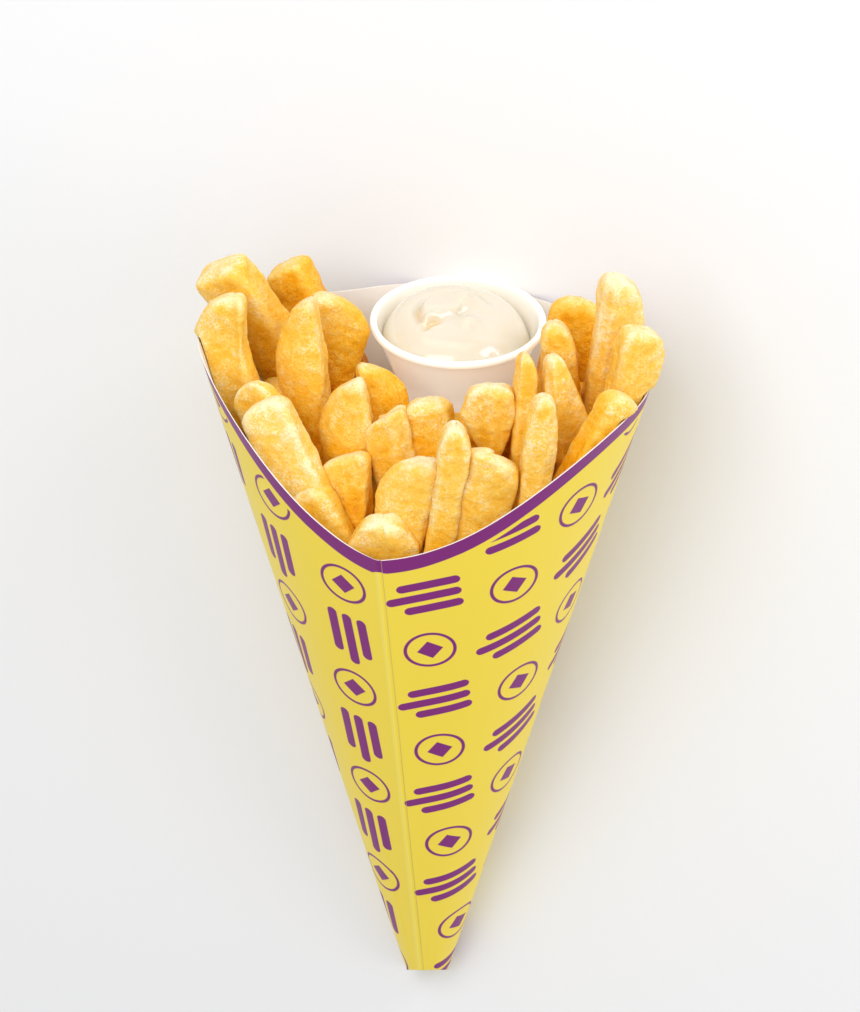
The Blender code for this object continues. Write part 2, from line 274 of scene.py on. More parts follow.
@dataclass(frozen=True)
class PrintedBoard:
    """Coated cartonboard, offset printed: satin, even ink, its fibres just felt in the gloss.

    The print is rings round a diamond and threes of bars, by turns, in arcs about the tip.
    Every arc holds a whole number of them, counted from the crease to both sides, so none is
    cut there. All stand the same way up on the flat sheet; sizes are millimetres on it.
    """

    paper: str = "FADF48"
    paper_worn: str = "F6D93F"
    ink: str = "801C76"
    # painted highlight: a paler yellow strip along the fold, just left of the crease
    fold_highlight: str = "F8E25E"
    hairline: str = "BBAA74"
    roughness: float = 0.4
    lean: float = math.radians(9)
    cell: float = 24.0
    row: float = 22.5
    ring: float = 6.8
    line: float = 1.0
    diamond: float = 3.7
    bars: tuple = ((-4.7, 1.0, 6.6), (0.0, -0.8, 8.8), (4.7, 1.4, 7.2))
    bar_line: float = 3.1
    edge: float = 0.12
    band: float = 4.7
    margin: float = 1.5
    fold_highlight_width: float = 1.2
    seam_at: float = 1.0

    def build(self, fan: float) -> bpy.types.Material:
        """Build the printed material.

        Args:
            fan: the angle, in radians, that the flat sheet spans about the tip.

        Returns:
            The printed material.
        """
        material, tree = blank("satin_printed_cartonboard")
        sheet = add(tree, "ShaderNodeUVMap", uv_map="sheet")
        polar = add(tree, "ShaderNodeSeparateXYZ", {0: sheet.outputs[0]})
        arc = add(tree, "ShaderNodeMath", {0: polar.outputs[1], 1: self.row}, operation="DIVIDE")
        arc = add(tree, "ShaderNodeMath", {0: arc.outputs[0]}, operation="FLOOR")
        middle = add(tree, "ShaderNodeMath", {0: arc.outputs[0], 1: self.row, 2: self.row / 2},
                     operation="MULTIPLY_ADD")
        count = add(tree, "ShaderNodeMath", {0: middle.outputs[0], 1: fan / self.cell},
                    operation="MULTIPLY")
        count = add(tree, "ShaderNodeMath", {0: count.outputs[0]}, operation="ROUND")
        place = add(tree, "ShaderNodeMath", {0: polar.outputs[0], 1: count.outputs[0]},
                    operation="MULTIPLY")
        index = add(tree, "ShaderNodeMath", {0: place.outputs[0]}, operation="FLOOR")
        centre = add(tree, "ShaderNodeMath", {0: index.outputs[0], 1: 0.5}, operation="ADD")
        local = self.beside(tree, polar.outputs[1], middle.outputs[0], place.outputs[0],
                            centre.outputs[0], count.outputs[0], fan)
        kind = add(tree, "ShaderNodeMath", {0: count.outputs[0], 1: index.outputs[0]},
                   operation="SUBTRACT")
        kind = add(tree, "ShaderNodeMath", {0: index.outputs[0], 1: kind.outputs[0]},
                   operation="MINIMUM")
        kind = add(tree, "ShaderNodeMath", {0: kind.outputs[0], 1: arc.outputs[0]},
                   operation="ADD")
        kind = add(tree, "ShaderNodeMath", {0: kind.outputs[0], 1: 2.0},
                   operation="FLOORED_MODULO")
        reach = add(tree, "ShaderNodeVectorMath", {0: local}, operation="LENGTH")
        ring = add(tree, "ShaderNodeMath", {0: reach.outputs["Value"], 1: self.ring},
                   operation="SUBTRACT")
        ring = add(tree, "ShaderNodeMath", {0: ring.outputs[0]}, operation="ABSOLUTE")
        ring = self.inked(tree, ring.outputs[0], self.line / 2)
        folded = add(tree, "ShaderNodeVectorMath", {0: local}, operation="ABSOLUTE")
        corner = add(tree, "ShaderNodeVectorMath", {0: folded.outputs[0], 1: (1.0, 1.0, 0.0)},
                     operation="DOT_PRODUCT")
        diamond = self.inked(tree, corner.outputs["Value"], self.diamond)
        ringed = add(tree, "ShaderNodeMath", {0: ring, 1: diamond}, operation="MAXIMUM")
        split = add(tree, "ShaderNodeSeparateXYZ", {0: local})
        barred = None
        for level, shift, half in self.bars:
            bar = self.bar(tree, split.outputs[0], split.outputs[1], level, shift, half)
            barred = bar if barred is None else add(
                tree, "ShaderNodeMath", {0: barred, 1: bar}, operation="MAXIMUM").outputs[0]
        print_mask = add(tree, "ShaderNodeMix", {0: kind.outputs[0], 2: ringed.outputs[0],
                                                 3: barred}, data_type="FLOAT")
        drop = add(tree, "ShaderNodeAttribute", attribute_name="drop")
        band = self.inked(tree, drop.outputs["Fac"], self.band)
        bare = self.inked(tree, drop.outputs["Fac"], self.band + self.margin)
        print_mask = add(tree, "ShaderNodeMath", {0: print_mask.outputs[0], 1: bare},
                         operation="SUBTRACT")
        print_mask = add(tree, "ShaderNodeMath", {0: print_mask.outputs[0], 1: band},
                         operation="MAXIMUM")
        place = add(tree, "ShaderNodeTexCoord")
        cloud = add(tree, "ShaderNodeTexNoise", {"Vector": place.outputs["Object"],
                                                 "Scale": 14.0, "Detail": 3.0})
        paper = add(tree, "ShaderNodeMix", {"Factor": cloud.outputs[0],
                                            6: linear(self.paper), 7: linear(self.paper_worn)},
                    data_type="RGBA")
        seam = add(tree, "ShaderNodeAttribute", attribute_name="across")
        # painted highlight: the paler strip along the fold, just left of the crease
        centre = add(tree, "ShaderNodeMath", {0: seam.outputs["Fac"], 1: self.fold_highlight_width / 2},
                     operation="ADD")
        centre = add(tree, "ShaderNodeMath", {0: centre.outputs[0]}, operation="ABSOLUTE")
        fold_highlight = self.inked(tree, centre.outputs[0], self.fold_highlight_width / 2)
        plain = add(tree, "ShaderNodeMix", {"Factor": fold_highlight, 6: paper.outputs[2],
                                            7: linear(self.fold_highlight)}, data_type="RGBA")
        coloured = add(tree, "ShaderNodeMix", {"Factor": print_mask.outputs[0],
                                               6: plain.outputs[2], 7: linear(self.ink)},
                       data_type="RGBA")
        edge = add(tree, "ShaderNodeMath", {0: seam.outputs["Fac"], 1: self.seam_at},
                   operation="SUBTRACT")
        edge = add(tree, "ShaderNodeMath", {0: edge.outputs[0]}, operation="ABSOLUTE")
        edge = self.inked(tree, edge.outputs[0], 0.06)
        coloured = add(tree, "ShaderNodeMix", {"Factor": edge, 6: coloured.outputs[2],
                                               7: linear(self.hairline)}, data_type="RGBA")
        fibre = add(tree, "ShaderNodeTexNoise", {"Vector": place.outputs["Object"],
                                                 "Scale": 900.0, "Detail": 2.0})
        bump = add(tree, "ShaderNodeBump", {"Height": fibre.outputs[0], "Strength": 0.12,
                                            "Distance": 0.0001})
        surface = add(tree, "ShaderNodeBsdfPrincipled",
                      {"Base Color": coloured.outputs[2], "Roughness": self.roughness,
                       "Normal": bump.outputs[0], "Specular IOR Level": 0.3})
        add(tree, "ShaderNodeOutputMaterial", {0: surface.outputs[0]})
        return material

    def beside(self, tree: bpy.types.NodeTree, reach, middle, place, centre, count,
               fan: float):
        """The place beside the nearest motif's centre, turned to how the motif stands.

        The angle off the centre, in radians, gives reach times its sine across the arc, and
        reach times its cosine, less the middle's reach, out from the tip.

        Args:
            tree: the material's node tree.
            reach: the socket with the distance from the tip.
            middle: the socket with the arc's distance from the tip.
            place: the socket with the place along the arc, counted in motifs.
            centre: the socket with the same for the motif's centre.
            count: the socket with the number of motifs in the arc.
            fan: the sheet's angle about the tip.

        Returns:
            The socket with the place in millimetres.
        """
        off = add(tree, "ShaderNodeMath", {0: place, 1: centre}, operation="SUBTRACT")
        off = add(tree, "ShaderNodeMath", {0: off.outputs[0], 1: count}, operation="DIVIDE")
        off = add(tree, "ShaderNodeMath", {0: off.outputs[0], 1: fan}, operation="MULTIPLY")
        across = add(tree, "ShaderNodeMath", {0: off.outputs[0]}, operation="SINE")
        across = add(tree, "ShaderNodeMath", {0: across.outputs[0], 1: reach},
                     operation="MULTIPLY")
        out = add(tree, "ShaderNodeMath", {0: off.outputs[0]}, operation="COSINE")
        out = add(tree, "ShaderNodeMath", {0: out.outputs[0], 1: reach}, operation="MULTIPLY")
        out = add(tree, "ShaderNodeMath", {0: out.outputs[0], 1: middle}, operation="SUBTRACT")
        turn = add(tree, "ShaderNodeMath", {0: centre, 1: count}, operation="DIVIDE")
        turn = add(tree, "ShaderNodeMath", {0: turn.outputs[0], 1: fan, 2: self.lean},
                   operation="MULTIPLY_ADD")
        flat = add(tree, "ShaderNodeCombineXYZ", {0: across.outputs[0], 1: out.outputs[0]})
        turned = add(tree, "ShaderNodeVectorRotate", {"Vector": flat.outputs[0],
                                                      "Angle": turn.outputs[0]},
                     rotation_type="Z_AXIS", invert=True)
        return turned.outputs[0]

    def bar(self, tree: bpy.types.NodeTree, along, across, level: float, shift: float,
            half: float):
        """A short bar with round ends: the distance to a straight line of a given half length.

        Args:
            tree: the material's node tree.
            along: the socket with the place along the row.
            across: the socket with the place across the row.
            level: the bar's place across the row.
            shift: its middle's place along the row.
            half: half its length.

        Returns:
            The socket with the mask.
        """
        past = add(tree, "ShaderNodeMath", {0: along, 1: shift}, operation="SUBTRACT")
        past = add(tree, "ShaderNodeMath", {0: past.outputs[0]}, operation="ABSOLUTE")
        past = add(tree, "ShaderNodeMath", {0: past.outputs[0], 1: half}, operation="SUBTRACT")
        past = add(tree, "ShaderNodeMath", {0: past.outputs[0], 1: 0.0}, operation="MAXIMUM")
        beside = add(tree, "ShaderNodeMath", {0: across, 1: level}, operation="SUBTRACT")
        away = add(tree, "ShaderNodeCombineXYZ", {0: past.outputs[0], 1: beside.outputs[0]})
        away = add(tree, "ShaderNodeVectorMath", {0: away.outputs[0]}, operation="LENGTH")
        return self.inked(tree, away.outputs["Value"], self.bar_line / 2)

    def inked(self, tree: bpy.types.NodeTree, reach, limit: float):
        """One inside a distance and zero outside it, with a soft edge.

        Args:
            tree: the material's node tree.
            reach: the socket with the distance.
            limit: the distance at which the ink ends.

        Returns:
            The socket with the mask.
        """
        mask = add(tree, "ShaderNodeMapRange", {"Value": reach, "From Min": limit - self.edge,
                                                "From Max": limit + self.edge,
                                                "To Min": 1.0, "To Max": 0.0})
        return mask.outputs[0]


@dataclass(frozen=True)
class BareBoard:
    """Uncoated reverse or cut edge of cartonboard: matt, off-white, faintly fibrous."""

    name: str
    light: str
    dark: str
    roughness: float = 0.85

    def build(self) -> bpy.types.Material:
        """Return the bare board material."""
        material, tree = blank(self.name)
        place = add(tree, "ShaderNodeTexCoord")
        fibre = add(tree, "ShaderNodeTexNoise", {"Vector": place.outputs["Object"],
                                                 "Scale": 260.0, "Detail": 4.0})
        shade = add(tree, "ShaderNodeMix", {"Factor": fibre.outputs[0], 6: linear(self.light),
                                            7: linear(self.dark)}, data_type="RGBA")
        bump = add(tree, "ShaderNodeBump", {"Height": fibre.outputs[0], "Strength": 0.2,
                                            "Distance": 0.0001})
        surface = add(tree, "ShaderNodeBsdfPrincipled",
                      {"Base Color": shade.outputs[2], "Roughness": self.roughness,
                       "Normal": bump.outputs[0], "Specular IOR Level": 0.3})
        add(tree, "ShaderNodeOutputMaterial", {0: surface.outputs[0]})
        return material


@dataclass(frozen=True)
class FriedCrust:
    """Potato fried in oil: a thin dry crust over soft flesh.

    Pale grains stand on a golden ground, paler at ends and corners. Painted shade turns it orange
    and then brown the further a place lies below the heap's top, and light goes a few millimetres
    into the flesh, which keeps the shadows warm.
    """

    name: str = "fried_potato_crust"
    # painted shade: the darkest colour and the deep orange after it colour the shade deep in the heap
    painted_deep_shade: str = "C26E04"
    deep: str = "E89708"
    warm: str = "FAB81C"
    gold: str = "FDCE5C"
    pale: str = "FFF0C4"
    roughness: float = 0.36
    grain: float = 0.62
    wrinkle: float = 2.4
    blotch: float = 7.0
    scatter: float = 0.15

    def build(self) -> bpy.types.Material:
        """Return the fried crust material."""
        material, tree = blank(self.name)
        place = add(tree, "ShaderNodeTexCoord")
        tone = add(tree, "ShaderNodeAttribute", attribute_name="tone")
        crust = add(tree, "ShaderNodeAttribute", attribute_name="crust")
        depth = add(tree, "ShaderNodeAttribute", attribute_name="depth")
        blotch = add(tree, "ShaderNodeTexNoise", {"Vector": place.outputs["Object"],
                                                  "Scale": 1 / (self.blotch * MM),
                                                  "Detail": 3.0, "Roughness": 0.6})
        grain = add(tree, "ShaderNodeTexNoise", {"Vector": place.outputs["Object"],
                                                 "Scale": 1 / (self.grain * MM),
                                                 "Detail": 3.0, "Roughness": 0.65})
        level = add(tree, "ShaderNodeMath", {0: blotch.outputs[0], 1: 0.52, 2: -0.1},
                    operation="MULTIPLY_ADD")
        level = add(tree, "ShaderNodeMath", {0: tone.outputs["Fac"], 1: 0.22,
                                             2: level.outputs[0]}, operation="MULTIPLY_ADD")
        level = add(tree, "ShaderNodeMath", {0: crust.outputs["Fac"], 1: 0.34,
                                             2: level.outputs[0]}, operation="MULTIPLY_ADD")
        # painted shade: the colour falls towards orange and brown with the depth below the heap's top
        level = add(tree, "ShaderNodeMath", {0: depth.outputs["Fac"], 1: -0.5,
                                             2: level.outputs[0]}, operation="MULTIPLY_ADD")
        flecks = add(tree, "ShaderNodeMapRange", {"Value": grain.outputs[0], "From Min": 0.42,
                                                  "From Max": 0.72, "To Min": -0.08,
                                                  "To Max": 0.34})
        patches = add(tree, "ShaderNodeMapRange", {"Value": blotch.outputs[0],
                                                   "From Min": 0.4, "From Max": 0.62,
                                                   "To Min": 0.35, "To Max": 1.1})
        flecks = add(tree, "ShaderNodeMath", {0: flecks.outputs[0], 1: patches.outputs[0]},
                     operation="MULTIPLY")
        grit = add(tree, "ShaderNodeTexNoise", {"Vector": place.outputs["Object"],
                                                "Scale": 1 / (0.55 * self.grain * MM),
                                                "Detail": 2.0, "Roughness": 0.6})
        level = add(tree, "ShaderNodeMath", {0: level.outputs[0], 1: flecks.outputs[0]},
                    operation="ADD")
        wrinkle = add(tree, "ShaderNodeTexNoise", {"Vector": place.outputs["Object"],
                                                   "Scale": 1 / (self.wrinkle * MM),
                                                   "Detail": 2.0, "Roughness": 0.55})
        level = add(tree, "ShaderNodeMath", {0: grit.outputs[0], 1: 0.2, 2: level.outputs[0]},
                    operation="MULTIPLY_ADD")
        level = add(tree, "ShaderNodeMath", {0: wrinkle.outputs[0], 1: 0.5,
                                             2: level.outputs[0]}, operation="MULTIPLY_ADD")
        ramp = add(tree, "ShaderNodeValToRGB", {0: level.outputs[0]})
        stops = ramp.color_ramp.elements
        stops[0].position, stops[0].color = 0.0, linear(self.painted_deep_shade)
        stops[1].position, stops[1].color = 1.0, linear(self.pale)
        for position, colour in ((0.12, self.deep), (0.34, self.warm), (0.62, self.gold)):
            stops.new(position).color = linear(colour)
        both = add(tree, "ShaderNodeMath", {0: grit.outputs[0], 1: 0.6, 2: grain.outputs[0]},
                   operation="MULTIPLY_ADD")
        both = add(tree, "ShaderNodeMath", {0: wrinkle.outputs[0], 1: 2.4, 2: both.outputs[0]},
                   operation="MULTIPLY_ADD")
        bump = add(tree, "ShaderNodeBump", {"Height": both.outputs[0], "Strength": 0.8,
                                            "Distance": 0.0003})
        surface = add(tree, "ShaderNodeBsdfPrincipled",
                      {"Base Color": ramp.outputs[0], "Roughness": self.roughness,
                       "Normal": bump.outputs[0], "Subsurface Weight": self.scatter,
                       "Subsurface Radius": (1.0, 0.62, 0.2), "Subsurface Scale": 0.0025,
                       "Specular IOR Level": 0.24})
        add(tree, "ShaderNodeOutputMaterial", {0: surface.outputs[0]})
        return material


@dataclass(frozen=True)
class CupPlastic:
    """Thermoformed polypropylene: milky and glossy.

    The outside of the wall carries a faint cream glow of its own, painted light in place of the light
    that the thin wall lets through; the inside is a darker, warmer copy of the plastic, painted shade
    warmed by a painted reflection of the sauce.
    """

    colour: str = "FAF8F5"
    # painted shade: the inside is a darker, warmer copy of the plastic, warmed by a painted
    # reflection of the sauce
    inside: str = "E6DFD3"
    # painted light: a faint cream glow on the outside of the wall
    painted_glow: str = "F1F2E0"
    painted_glow_strength: float = 0.37
    roughness: float = 0.16

    def build(self) -> bpy.types.Material:
        """Return the cup's material."""
        material, tree = blank("milky_polypropylene")
        place = add(tree, "ShaderNodeTexCoord")
        outside = add(tree, "ShaderNodeAttribute", attribute_name="outside")
        shade = add(tree, "ShaderNodeMix", {"Factor": outside.outputs["Fac"],
                                            6: linear(self.inside), 7: linear(self.colour)},
                    data_type="RGBA")
        painted_glow = add(tree, "ShaderNodeMix", {"Factor": outside.outputs["Fac"],
                                           6: linear("000000"), 7: linear(self.painted_glow)},
                   data_type="RGBA")
        haze = add(tree, "ShaderNodeTexNoise", {"Vector": place.outputs["Object"],
                                                "Scale": 60.0, "Detail": 2.0})
        bump = add(tree, "ShaderNodeBump", {"Height": haze.outputs[0], "Strength": 0.08,
                                            "Distance": 0.0005})
        surface = add(tree, "ShaderNodeBsdfPrincipled",
                      {"Base Color": shade.outputs[2], "Roughness": self.roughness,
                       "IOR": 1.49, "Emission Color": painted_glow.outputs[2],
                       "Emission Strength": self.painted_glow_strength,
                       "Normal": bump.outputs[0], "Coat Weight": 0.3, "Coat Roughness": 0.08})
        add(tree, "ShaderNodeOutputMaterial", {0: surface.outputs[0]})
        return material


@dataclass(frozen=True)
class CreamySauce:
    """An oil emulsion such as garlic mayonnaise: smooth, wet, lit from inside."""

    colour: str = "E7E0D0"
    warm: str = "E2D6BF"
    # painted shade: a yellowish tint in the groove, along the lobe's left edge and where the sauce
    # meets the cup
    painted_hollow_shade: str = "E6C684"
    roughness: float = 0.14

    def build(self) -> bpy.types.Material:
        """Return the sauce's material."""
        material, tree = blank("smooth_oil_emulsion")
        place = add(tree, "ShaderNodeTexCoord")
        streak = add(tree, "ShaderNodeTexNoise", {"Vector": place.outputs["Object"],
                                                  "Scale": 110.0, "Detail": 2.0})
        shade = add(tree, "ShaderNodeMix", {"Factor": streak.outputs[0],
                                            6: linear(self.colour), 7: linear(self.warm)},
                    data_type="RGBA")
        painted_hollow_shade = add(tree, "ShaderNodeAttribute", attribute_name="painted_hollow_shade")
        shade = add(tree, "ShaderNodeMix", {"Factor": painted_hollow_shade.outputs["Fac"],
                                            6: shade.outputs[2], 7: linear(self.painted_hollow_shade)},
                    data_type="RGBA")
        bump = add(tree, "ShaderNodeBump", {"Height": streak.outputs[0], "Strength": 0.06,
                                            "Distance": 0.0008})
        surface = add(tree, "ShaderNodeBsdfPrincipled",
                      {"Base Color": shade.outputs[2], "Roughness": self.roughness,
                       "IOR": 1.47, "Normal": bump.outputs[0], "Subsurface Weight": 0.35,
                       "Subsurface Radius": (1.0, 0.8, 0.5), "Subsurface Scale": 0.003,
                       "Coat Weight": 0.6, "Coat Roughness": 0.04})
        add(tree, "ShaderNodeOutputMaterial", {0: surface.outputs[0]})
        return material


# ---------------------------------------------------------------- the cone


@dataclass(frozen=True)
class LaidCone:
    """The rolled sheet's form, and how the upright cone is laid on its flat back."""

    slope: float = 0.243
    crease_half: float = math.radians(19.0)
    back_half: float = math.radians(12.0)
    board: float = 0.6
    tip: float = 28.0
    rim_front: float = 222.5
    rim_left: float = 261.0
    rim_right: float = 253.0
    rim_back: float = 241.5
    peak_left: float = math.radians(68.0)
    peak_right: float = math.radians(73.0)
    back_from: float = math.radians(148.0)
    solid_step: float = math.radians(6.0)
    tip_cut: float = 25.7
    tip_lean: tuple[float, float] = (0.23, 0.90)

    def factor(self, azimuth: np.ndarray) -> np.ndarray:
        """Polar radius of the section over its round radius: straight in front and behind."""
        away = np.abs(azimuth)
        front = 1.0 / np.cos(np.maximum(0.0, self.crease_half - away))
        behind = np.pi - away
        flat = math.cos(self.back_half) / np.cos(np.minimum(behind, self.back_half))
        return np.where(behind < self.back_half, flat, front)

    def rim(self, azimuth: np.ndarray) -> np.ndarray:
        """Height of the rim: half a cosine up to each peak and half a cosine down behind it."""
        away = np.abs(azimuth)
        top = np.where(azimuth < 0, self.rim_left, self.rim_right)
        peak = np.where(azimuth < 0, self.peak_left, self.peak_right)
        lift = (top - self.rim_front) * (1 + np.cos(np.pi * np.minimum(away, peak) / peak)) / 2
        share = np.clip((away - peak) / (self.back_from - peak), 0, 1)
        fall = (top - self.rim_back) * (1 - np.cos(np.pi * share)) / 2
        return np.where(away < peak, top - lift, top - fall)

    def tip_height(self, azimuth: np.ndarray) -> np.ndarray:
        """Height of the tip's cut: a plane through the axis that rises towards the crease."""
        right, front = self.tip_lean
        rise = right * np.sin(azimuth) + front * np.cos(azimuth)
        return self.tip_cut / (1 - self.slope * rise)

    def on(self, azimuth: np.ndarray, height: np.ndarray, inset: float | np.ndarray) -> np.ndarray:
        """Points on the cone: slope times height, less the inset, at each azimuth."""
        radius = (self.slope * height - inset) * self.factor(azimuth)
        return np.stack([radius * np.sin(azimuth), -radius * np.cos(azimuth), height], axis=-1)

    def turned(self, points: np.ndarray) -> np.ndarray:
        """Upright points turned about X so that the flat back faces down."""
        lean = math.atan(self.slope * math.cos(self.back_half))
        sin_l, cos_l = math.sin(lean), math.cos(lean)
        x, y, z = points[..., 0], points[..., 1], points[..., 2]
        return np.stack([x, y * sin_l + z * cos_l, z * sin_l - y * cos_l], axis=-1)

    def shift(self) -> np.ndarray:
        """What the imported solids' place adds, from the board's own lowest corner."""
        azimuth = np.arange(-np.pi, np.pi, self.solid_step)
        heights = (np.full_like(azimuth, self.tip), self.rim(azimuth))
        corners = self.turned(np.concatenate([self.on(azimuth, h, 0.0) for h in heights]))
        low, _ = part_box("cone_board")
        return np.array(low) / MM - corners.min(axis=0)

    def lay(self, points: np.ndarray) -> np.ndarray:
        """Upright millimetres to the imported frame's metres."""
        return (self.turned(points) + self.shift()) * MM

    def keep_inside(self, points: np.ndarray, gap: float) -> np.ndarray:
        """Draw points that lie in or past the board back to a gap from its inner face.

        Args:
            points: upright millimetres.
            gap: clearance to the board.

        Returns:
            The points, those above the rim unchanged.
        """
        azimuth = np.arctan2(points[..., 0], -points[..., 1])
        radius = np.hypot(points[..., 0], points[..., 1])
        room = self.slope * points[..., 2] - self.board - gap
        above = smooth_step((points[..., 2] - self.rim(azimuth)) / 5.0)
        limit = room * self.factor(azimuth) + above * 16.0
        scale = np.minimum(1.0, limit / np.maximum(radius, 0.01))
        return points * np.stack([scale, scale, np.ones_like(scale)], axis=-1)


@dataclass(frozen=True)
class ConeBoard:
    """The rolled paperboard: printed outside, bare inside, its ends lapped at the crease."""

    form: LaidCone
    finish: PrintedBoard = PrintedBoard()
    rows: int = 46
    crease_columns: tuple[float, ...] = (0.0, 0.3, 0.6, 0.92, 1.06, 1.35, 1.8, 2.3)
    panel_columns: int = 10
    round_columns: int = 104
    crease_radius: float = 0.35
    lap_step: float = 0.25
    lap_fade: float = 14.0
    swell: float = 0.35
    cut_share: float = 0.25

    def columns(self, height: np.ndarray) -> tuple[np.ndarray, np.ndarray]:
        """Azimuths round the sheet, from the crease round the right and the back to it again.

        The columns next to the crease keep fixed distances from it, so they run beside it.

        Args:
            height: one height for each row.

        Returns:
            Azimuth and distance from the crease, row by row (the distance counts to the right).
        """
        corner = self.form.slope * height[:, None] / math.cos(self.form.crease_half)
        near = np.array(self.crease_columns)[None, :]
        x = near * math.cos(self.form.crease_half)
        near_az = np.arctan2(x, corner - near * math.sin(self.form.crease_half))
        share = (np.arange(self.panel_columns) + 1) / self.panel_columns
        edge = self.form.crease_half + math.radians(1.0)
        panel = near_az[:, -1:] + (edge - near_az[:, -1:]) * share[None, :]
        right = np.concatenate([near_az, panel], axis=1)
        middle = np.linspace(edge, math.tau - edge, self.round_columns + 2)[1:-1]
        middle = np.broadcast_to(middle, (len(height), self.round_columns))
        left = math.tau - right[:, ::-1]
        full = np.concatenate([right, middle, left], axis=1)
        signed = np.where(full > np.pi, full - math.tau, full)
        line = self.form.slope * height[:, None] / np.cos(self.form.crease_half)
        distance = line * np.sin(signed) / math.cos(self.form.crease_half)
        return full, distance

    def sheet_turn(self, azimuth: np.ndarray | float) -> np.ndarray:
        """Angle on the flat sheet: the sum of the turns between neighbouring generators."""
        fine = np.linspace(0, math.tau, 2881)
        signed = np.where(fine > np.pi, fine - math.tau, fine)
        lines = self.form.on(signed, np.ones_like(fine), 0.0)
        lines /= np.linalg.norm(lines, axis=-1, keepdims=True)
        steps = np.linalg.norm(np.diff(lines, axis=0), axis=-1)
        return np.interp(azimuth, fine, np.concatenate([[0.0], np.cumsum(steps)]))

    def build(self) -> bpy.types.Object:
        """Build the board and dress it."""
        share = (1 - np.cos(np.linspace(0, np.pi, self.rows))) / 2
        guide = self.form.tip + share * (self.form.rim_back - self.form.tip)
        full, _ = self.columns(guide)
        signed = np.where(full > np.pi, full - math.tau, full)
        rim = self.form.rim(signed)
        low = self.form.tip_height(signed)
        height = low + share[:, None] * (rim - low)
        outer = self.skin(full, signed, height, 0.0)
        thin = self.form.board * (1 - (1 - self.cut_share) * np.exp(-(rim - height) / 2.0))
        inner = self.skin(full, signed, np.maximum(height, low + self.form.board),
                          thin)[::-1]
        rings = np.concatenate([outer, inner], axis=0)
        across = self.distance(full, height)
        slope = np.gradient(self.form.rim(signed[0]), signed[0] + math.tau * (signed[0] < 0))
        lean = np.cos(np.arctan(slope / (self.form.slope * rim[0])))
        drop = (rim - height) * lean
        inside = np.full_like(drop, 999.0)
        values = {"drop": np.concatenate([drop, inside]),
                  "across": np.concatenate([across, inside])}
        shell = tube(rings, values)
        self.number_faces(shell, full, height)
        shell.points = self.form.lay(shell.points)
        materials = [self.finish.build(float(self.sheet_turn(math.tau))),
                     BareBoard("bare_board_reverse", "F0EAE3", "E7E0D8").build(),
                     BareBoard("cut_board_edge", "F6F1EC", "E9E2DA").build()]
        piece = make_piece("board", shell.outward(), materials)
        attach(piece, "root")
        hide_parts("cone_board")
        return piece

    def distance(self, full: np.ndarray, height: np.ndarray) -> np.ndarray:
        """Distance from the crease along the panel, to the right positive, far off elsewhere."""
        signed = np.where(full > np.pi, full - math.tau, full)
        corner = self.form.slope * height / math.cos(self.form.crease_half)
        half = self.form.crease_half
        beside = corner * np.sin(signed) / np.cos(half - np.abs(signed))
        return np.where(np.abs(signed) < half, beside, 99.0 * np.sign(signed))

    def skin(self, full: np.ndarray, signed: np.ndarray, height: np.ndarray,
             inset: float | np.ndarray) -> np.ndarray:
        """One face of the board: on the cone, with the lap's step and a slight swell outside."""
        points = self.form.on(signed, height, inset)
        across = self.distance(full, height)
        x = points[..., 0]
        softened = math.tan(self.form.crease_half) * (np.hypot(x, self.crease_radius) - np.abs(x))
        points[..., 1] += np.where(np.abs(signed) < self.form.crease_half, softened, 0.0)
        if np.any(inset > 0):
            return points
        lap = np.where(across > self.finish.seam_at, 1 - (across - 1) / self.lap_fade, 0.0)
        wave = value_noise(points * (1, 1, 0.35), 26.0, 5) * 0.5 + 0.5
        out = self.lap_step * np.clip(lap, 0, 1) + self.swell * wave * np.clip(
            (np.abs(across) - 2) / 10, 0, 1)
        out = out * np.clip((height - self.form.tip) / 20, 0, 1)
        out = out * smooth_step((math.radians(150) - np.abs(signed)) / math.radians(20))
        side = np.stack([np.sin(signed), -np.cos(signed), np.zeros_like(signed)], axis=-1)
        return points + side * out[..., None]

    def number_faces(self, shell: Shell, full: np.ndarray, height: np.ndarray) -> None:
        """Give each face its finish and its place on the flat sheet."""
        rows, count = full.shape
        turn = self.sheet_turn(full) / self.sheet_turn(math.tau)
        after = np.concatenate([turn[:, 1:], np.ones((rows, 1))], axis=1)
        signed = np.where(full > np.pi, full - math.tau, full)
        reach = height * np.sqrt(1 + (self.form.slope * self.form.factor(signed)) ** 2)
        next_reach = np.roll(reach, -1, axis=1)
        here = np.stack([turn, reach], axis=-1)
        there = np.stack([after, next_reach], axis=-1)
        here = np.concatenate([here, here[::-1]])
        there = np.concatenate([there, there[::-1]])
        corners = np.stack([here[:-1], there[:-1], there[1:], here[1:]], axis=2)
        shell.quad_uv = corners.reshape(-1, 4, 2)
        first = np.stack([there[0], here[0], here[0]], axis=1)
        last = np.stack([here[-1], there[-1], here[-1]], axis=1)
        shell.tri_uv = np.concatenate([first, last])
        rings = 2 * rows - 1
        slot = np.zeros((rings, count), int)
        slot[rows - 1:] = 1
        slot[rows - 1] = 2
        shell.quad_slots = slot.ravel()
        shell.tri_slots = np.concatenate([np.zeros(count, int), np.ones(count, int)])


# ---------------------------------------------------------------- the dip cup


